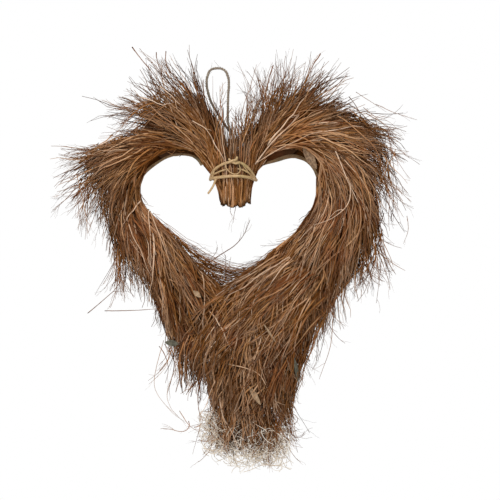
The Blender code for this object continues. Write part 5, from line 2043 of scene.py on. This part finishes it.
@dataclass
class CaneTie:
    """The pale cane wound twice round the neck, with a lapped end on top and a loose end at the lower left.

    lap, tuck and loose are the ways of its ends from where they leave a turn, in millimetres.
    """

    radius: float = 0.00155
    clearance: float = 0.0014
    flank_drop: float = 0.1170
    upper_rise: float = 0.0186
    middle_rise: float = 0.0118
    middle_dip: float = 0.0055
    lower_rise: float = 0.0034
    turn_step: float = -0.0002
    lap: tuple = ((-6.2, -1.4, -0.8), (-1.5, -3.0, 1.0), (2.0, -3.0, 2.2), (3.5, -2.2, 5.0))
    tuck: tuple = ((5.8, -1.2, -1.0), (0.8, -2.4, -1.6), (-4.0, -0.8, 1.6), (-5.2, 0.4, 3.0))
    loose: tuple = ((2.0, 0.6, 1.2), (-0.2, -1.8, -3.0), (-2.6, -2.6, -9.0), (-7.8, -3.0, -16.8))
    rings: int = 96
    finish: CaneFinish = CaneFinish(
        "tie cane",
        dark=(0.290, 0.165, 0.066),
        middle=(0.540, 0.355, 0.172),
        light=(0.700, 0.490, 0.265),
        tint=(0.370, 0.270, 0.100),
        roughness=(0.38, 0.60),
        length=26.0,
        width=16.0,
        tint_amount=0.75,
        bump=0.0006,
    )

    def turn(self, rise: float, back_rise: float, drop: float, swing: float) -> Array:
        """One turn of the cane on the neck's oval, from back to back.

        Args:
            rise: How far its front stands over its flanks.
            back_rise: How far its back stands over its flanks.
            drop: Depth of the flanks below the origin.
            swing: How far its height wanders.

        Returns:
            Its points.
        """
        off = self.clearance + self.radius
        angle = np.linspace(-math.pi, math.pi, self.rings)
        forward = np.cos(angle)
        bent = np.abs(forward) ** (1.0 + 0.8 * np.maximum(0.0, np.sin(angle)))
        lift = np.where(forward > 0.0, rise * bent, back_rise * bent)
        lift = lift + swing * np.sin(angle * 3.0 + 0.7)
        x = SPREAD.neck_axis_x + (SPREAD.neck_half_width + off) * np.sin(angle)
        y = SPREAD.middle_y - (SPREAD.neck_half_depth + off) * forward
        return np.stack((x, y, -drop + lift), axis=-1)

    def build(self) -> None:
        """Builds the tie."""
        rng = np.random.default_rng(8)
        template = StemTemplate(10, self.rings)
        short = StemTemplate(10, 20)
        thin = StemTemplate(6, 20)
        parts = MeshParts()
        upper = self.turn(self.upper_rise, self.lower_rise, self.flank_drop, 0.0003)
        lower = self.turn(self.lower_rise, self.upper_rise * 0.4, self.flank_drop + self.turn_step, 0.0003)
        middle = self.turn(self.middle_rise, self.upper_rise * 0.1, self.flank_drop + 0.0004, 0.0004)
        dip = bulge(middle[:, 0], SPREAD.neck_axis_x - 0.001, 0.008, self.middle_dip)
        middle[:, 1] += np.where(middle[:, 1] < SPREAD.middle_y, dip, 0.0)
        for route, share in ((upper, 0.98), (lower, 1.10), (middle, 0.58)):
            radius = self.radius * share * (1.0 + rng.normal(0.0, 0.05, self.rings))
            parts.lay(template, Strands.single(route, radius), CANE_STRIP)
        top, flank = upper[self.rings // 2], lower[int(self.rings * 0.36)]
        ends = ((top, self.lap, 0.95), (top, self.tuck, 0.85), (flank, self.loose, 0.80))
        for leave, way, thickness in ends:
            route = smooth_run(leave + np.array(way) * MM, short.rings)
            radius = self.radius * thickness * np.linspace(1.0, 0.9, short.rings)
            parts.lay(short, Strands.single(route, radius), CANE_STRIP)
        parts.lay(thin, self.splits(upper, lower, thin.rings, rng), CANE_STRIP)
        finish_piece("tie_of_cane", parts, self.finish.material(), "tie_cane", "cane_tie")

    def splits(self, upper: Array, lower: Array, rings: int, rng: Rng) -> Strands:
        """The thin splits of cane that hang in a bow between both turns over the front of the neck."""
        middle = self.rings // 2
        rise, fall = (upper[middle - 6], upper[middle - 4]), (lower[middle], lower[middle + 3])
        bow = np.array([*rise, *fall, upper[middle + 3]])
        bow[1:4] += np.array(((-0.0010, 0.0, -0.0070), (0.0, -0.0002, 0.0022), (0.0018, 0.0, 0.0050)))
        flank = np.array([lower[middle - 17], upper[middle - 13], upper[middle - 9]])
        flank[1] += np.array((-0.0020, 0.0, -0.0020))
        side = np.array([upper[middle + 5], upper[middle + 9], lower[middle + 15]])
        side[1] += np.array((0.0, 0.0, -0.0038))
        routes = [smooth_run(points, rings) for points in (bow, flank, side)]
        routes = [route + rng.normal(0.0, 0.00012, route.shape) for route in routes]
        radius = np.array((0.00062, 0.00095, 0.00080))[:, None] * np.ones(rings)
        return Strands(np.stack(routes), radius, np.full(len(routes), 0.5))


@dataclass
class HangingLoop:
    """The stiff loop of roots twisted round a wire, which stands up from between both crown bunches.

    The points of its way are (x, drop below the origin) pairs in millimetres.
    """

    diameter: float = 0.0031
    leg_gap: float = 0.0006
    foot_drop: float = 0.1060
    meet_drop: float = 0.0720
    pitch: float = 0.0078
    hairs: int = 26
    rings: int = 300
    route_points: tuple = (
        *((11.6, 55.9), (11.8, 27.4), (12.4, 11.6), (8.4, 1.0), (0.0, -1.55), (-7.9, 1.0), (-11.0, 11.6)),
        *((-10.0, 22.1), (-6.6, 33.3), (0.2, 45.7), (9.0, 59.2)),
    )
    finish: CaneFinish = CaneFinish(
        "twisted loop",
        dark=(0.085, 0.060, 0.042),
        middle=(0.235, 0.180, 0.135),
        light=(0.440, 0.370, 0.290),
        tint=(0.300, 0.260, 0.190),
        roughness=(0.55, 0.80),
        length=120.0,
        width=6.0,
        tint_amount=0.6,
        bump=0.0003,
    )

    def centre_line(self) -> Array:
        """The loop's centre line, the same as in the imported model."""
        apart = (self.diameter + self.leg_gap) / 2
        x = SPREAD.neck_axis_x
        middle = (self.foot_drop + self.meet_drop) / 2
        right = [(x, -apart, -self.foot_drop), (x, -apart, -middle), (x, -apart, -self.meet_drop)]
        left = [(px, -py, pz) for px, py, pz in reversed(right)]
        flat = np.array(self.route_points) * (MM, -MM)
        over = lifted(flat, np.linspace(-apart, apart, len(flat)))
        return evenly(smooth_run(np.vstack((right, over, left)), 600), self.rings)[0]

    def build(self) -> None:
        """Builds the loop from three strands that wind round each other, with fine ends that fray off it."""
        line = self.centre_line()
        length = np.linalg.norm(np.diff(line, axis=0), axis=1).sum()
        tangent = unit(np.gradient(line, axis=0))
        aside = unit(np.cross(tangent, np.array((0.0, 1.0, 0.0))))
        up = np.cross(aside, tangent)
        turns = 2.0 * math.pi * length / self.pitch * np.linspace(0.0, 1.0, self.rings)
        rng = np.random.default_rng(4)
        template = StemTemplate(7, self.rings)
        parts = MeshParts()
        for k, (radius, off) in enumerate(((0.00092, 0.00074), (0.00088, 0.00080), (0.00066, 0.00098))):
            turn = turns + 2.0 * math.pi * k / 3.0 + 0.25 * np.sin(turns / 5.0 + k)
            arm = aside * np.cos(turn)[:, None] + up * np.sin(turn)[:, None]
            uneven = radius * (1.0 + rng.normal(0.0, 0.05, self.rings))
            parts.lay(template, Strands.single(line + arm * off, uneven, 0.2 + 0.3 * k), 0.28)
        hair = StemTemplate(3, 7)
        count = self.hairs
        at = rng.integers(int(self.rings * 0.22), int(self.rings * 0.78), count)
        step = rng.choice((-1.0, 1.0), count)[:, None]
        share = np.linspace(0.0, 1.0, hair.rings)
        spread = unit(rng.normal(0.0, 1.0, (count, 3)) * np.array((1.0, 0.6, 0.6)))
        size = rng.uniform(0.003, 0.011, count)
        along = tangent[at][:, None] * step[:, None] * share[None, :, None]
        off = spread[:, None] * (share**1.5)[None, :, None] * 0.6
        route = line[at][:, None] + (along + off) * size[:, None, None]
        radius = np.full((count, 1), 0.00022) * np.linspace(1.0, 0.5, hair.rings)
        parts.lay(hair, Strands(held_in(route), radius, np.full(count, 0.8)), 0.02)
        finish_piece("loop_of_roots", parts, self.finish.material(), "twisted_loop", "hanging_loop")


@dataclass(frozen=True)
class LeafPlan:
    """A leaf or flake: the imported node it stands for, its size, its turn in the plane and how it curls."""

    node: str
    slot: str
    length: float
    width: float
    turn: float
    point: float
    curl: float


LEAVES = (
    LeafPlan("tan_leaf", "dry_leaf", 0.0230, 0.0058, -58.0, 0.8, 0.0022),
    LeafPlan("straw", "dry_leaf", 0.0230, 0.0022, -56.0, 0.3, 0.0008),
    LeafPlan("bark_flake", "bark", 0.0280, 0.0092, -60.0, 0.4, 0.0016),
    LeafPlan("pale_flake", "dry_leaf", 0.0105, 0.0056, -40.0, 1.0, 0.0016),
    LeafPlan("grey_leaf", "grey_leaf", 0.0150, 0.0070, -6.0, 0.8, 0.0020),
    LeafPlan("pointed_leaf", "grey_leaf", 0.0260, 0.0046, -80.0, 1.0, 0.0014),
)


LEAF_FINISHES = {
    "dry_leaf": LeafFinish("dry leaf", (0.200, 0.110, 0.052), (0.330, 0.210, 0.115), (0.480, 0.340, 0.210)),
    "grey_leaf": LeafFinish("grey leaf", (0.040, 0.038, 0.025), (0.095, 0.090, 0.060), (0.190, 0.175, 0.125)),
    "bark": LeafFinish("thin bark", (0.070, 0.036, 0.016), (0.190, 0.108, 0.054), (0.340, 0.220, 0.130), 5.0),
}


@dataclass
class CaughtLeaves:
    """The dry leaves and bark flakes that are caught in the roots."""

    cover: FrontCover
    thickness: float = 0.0004

    def leaf(self, plan: LeafPlan, finish: Material) -> None:
        """Models one leaf from a grid: pointed, folded at its midrib, curled and laid on the roots."""
        low, high = (np.array(corner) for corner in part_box(plan.node))
        middle = (low + high) / 2
        bpy.ops.object.select_all(action="DESELECT")
        bpy.ops.mesh.primitive_grid_add(x_subdivisions=14, y_subdivisions=6, size=2.0, calc_uvs=True)
        leaf = bpy.context.object
        mesh = leaf.data
        mesh.uv_layers[0].name = ROOT_MAP
        cos, sin = math.cos(math.radians(plan.turn)), math.sin(math.radians(plan.turn))
        for vert in mesh.vertices:
            along, aside = vert.co.x, vert.co.y
            shape = max(0.05, 1.0 - abs(along) ** (2.2 - 0.9 * plan.point)) ** 0.75
            wavy = 1.0 + 0.06 * math.sin(along * 9.0 + plan.length * 900.0)
            x = along * plan.length / 2
            z = aside * plan.width / 2 * shape * wavy
            curled = 0.8 * along * along + 0.6 * abs(aside) * shape + 0.25 * math.sin(along * 4.0 + aside)
            lift = plan.curl * curled
            place = np.array((x * cos - z * sin, x * sin + z * cos)) + middle[[0, 2]]
            y = min(self.cover.at(place[None])[0] - 0.0006, middle[1]) - lift
            vert.co = (place[0], y, place[1])
        bpy.ops.object.mode_set(mode="EDIT")
        bpy.ops.mesh.select_all(action="SELECT")
        bpy.ops.mesh.normals_make_consistent(inside=False)
        bpy.ops.object.mode_set(mode="OBJECT")
        thick = leaf.modifiers.new("thickness", "SOLIDIFY")
        thick.thickness = self.thickness
        thick.offset = 0.0
        bpy.ops.object.modifier_apply(modifier=thick.name)
        soft = leaf.modifiers.new("soft", "SUBSURF")
        soft.levels = soft.render_levels = 1
        bpy.ops.object.modifier_apply(modifier=soft.name)
        mesh.shade_smooth()
        mesh.materials.clear()
        mesh.materials.append(finish)
        leaf.name = f"caught_{plan.node}"
        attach(leaf, BODY)
        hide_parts(plan.node)
        LOG.info("%s: %d faces", leaf.name, len(mesh.polygons))

    def build(self) -> None:
        """Builds every leaf."""
        materials = {slot: finish.material() for slot, finish in LEAF_FINISHES.items()}
        for plan in LEAVES:
            self.leaf(plan, materials[plan.slot])


@dataclass
class Studio:
    """White surroundings, soft lights, a pale floor well below the hanging wreath, and the photo's view."""

    aim: tuple[float, float, float] = (0.0348, -0.018, -0.1908)
    distance: float = 4.0
    frame_width: float = 0.527
    sensor_width: float = 36.0
    floor_drop: float = 1.15
    floor_radius: float = 1.3
    ambient: float = 0.55

    def camera(self) -> None:
        """Puts the camera level in front of the wreath."""
        data = bpy.data.cameras.new("front camera")
        data.sensor_width = self.sensor_width
        data.lens = self.sensor_width * self.distance / self.frame_width
        made = bpy.data.objects.new("front camera", data)
        made.location = (self.aim[0], self.aim[1] - self.distance, self.aim[2])
        made.rotation_euler = (math.radians(90.0), 0.0, 0.0)
        bpy.context.scene.collection.objects.link(made)
        bpy.context.scene.camera = made

    def lamp(self, name: str, place: tuple[float, float, float], size: float, power: float) -> None:
        """Adds a soft square light that looks at the wreath."""
        data = bpy.data.lights.new(name, "AREA")
        data.size = size
        data.energy = power
        made = bpy.data.objects.new(name, data)
        bpy.context.scene.collection.objects.link(made)
        made.location = place
        way = made.location - Vector(self.aim)
        made.rotation_euler = way.to_track_quat("Z", "Y").to_euler()

    def floor(self) -> None:
        """Lays the round pale floor."""
        bpy.ops.object.select_all(action="DESELECT")
        middle = (self.aim[0], 0.0, -self.floor_drop)
        bpy.ops.mesh.primitive_circle_add(
            vertices=96, radius=self.floor_radius, fill_type="NGON", location=middle
        )
        floor = bpy.context.object
        floor.name = "pale floor"
        made, _, shader = new_material("pale floor")
        shader.inputs["Base Color"].default_value = (0.80, 0.80, 0.79, 1.0)
        shader.inputs["Roughness"].default_value = 0.9
        floor.data.materials.append(made)

    def build(self) -> None:
        """Sets up the whole studio."""
        scene = bpy.context.scene
        scene.view_settings.view_transform = "Standard"
        self.camera()
        world = bpy.data.worlds.new("white studio")
        world.use_nodes = True
        tree = world.node_tree
        back = tree.nodes["Background"]
        back.inputs["Color"].default_value = (1.0, 1.0, 1.0, 1.0)
        seen = add_node(tree, "ShaderNodeLightPath").outputs["Is Camera Ray"]
        tree.links.new(ranged(tree, seen, 0.0, 1.0, self.ambient, 1.0), back.inputs["Strength"])
        scene.world = world
        self.lamp("key light", (-0.9, -1.5, 0.9), 0.7, 24.0)
        self.lamp("fill light", (1.1, -1.3, 0.1), 0.9, 6.0)
        self.lamp("back light", (0.4, 1.4, 0.8), 1.0, 16.0)
        self.floor()


def main() -> None:
    """Builds every piece of the wreath and the studio round it."""
    logging.basicConfig(level=logging.INFO, format="%(message)s")
    bunches = RootBunches()
    fronts = bunches.build()
    cover = FrontCover(fronts)
    fronts.append(LooseStrands(bunches, cover).build())
    cover = FrontCover(fronts)
    HeartHoop().build()
    CaneTie().build()
    HangingLoop().build()
    CaughtLeaves(cover).build()
    Studio().build()


if __name__ == "__main__":
    main()
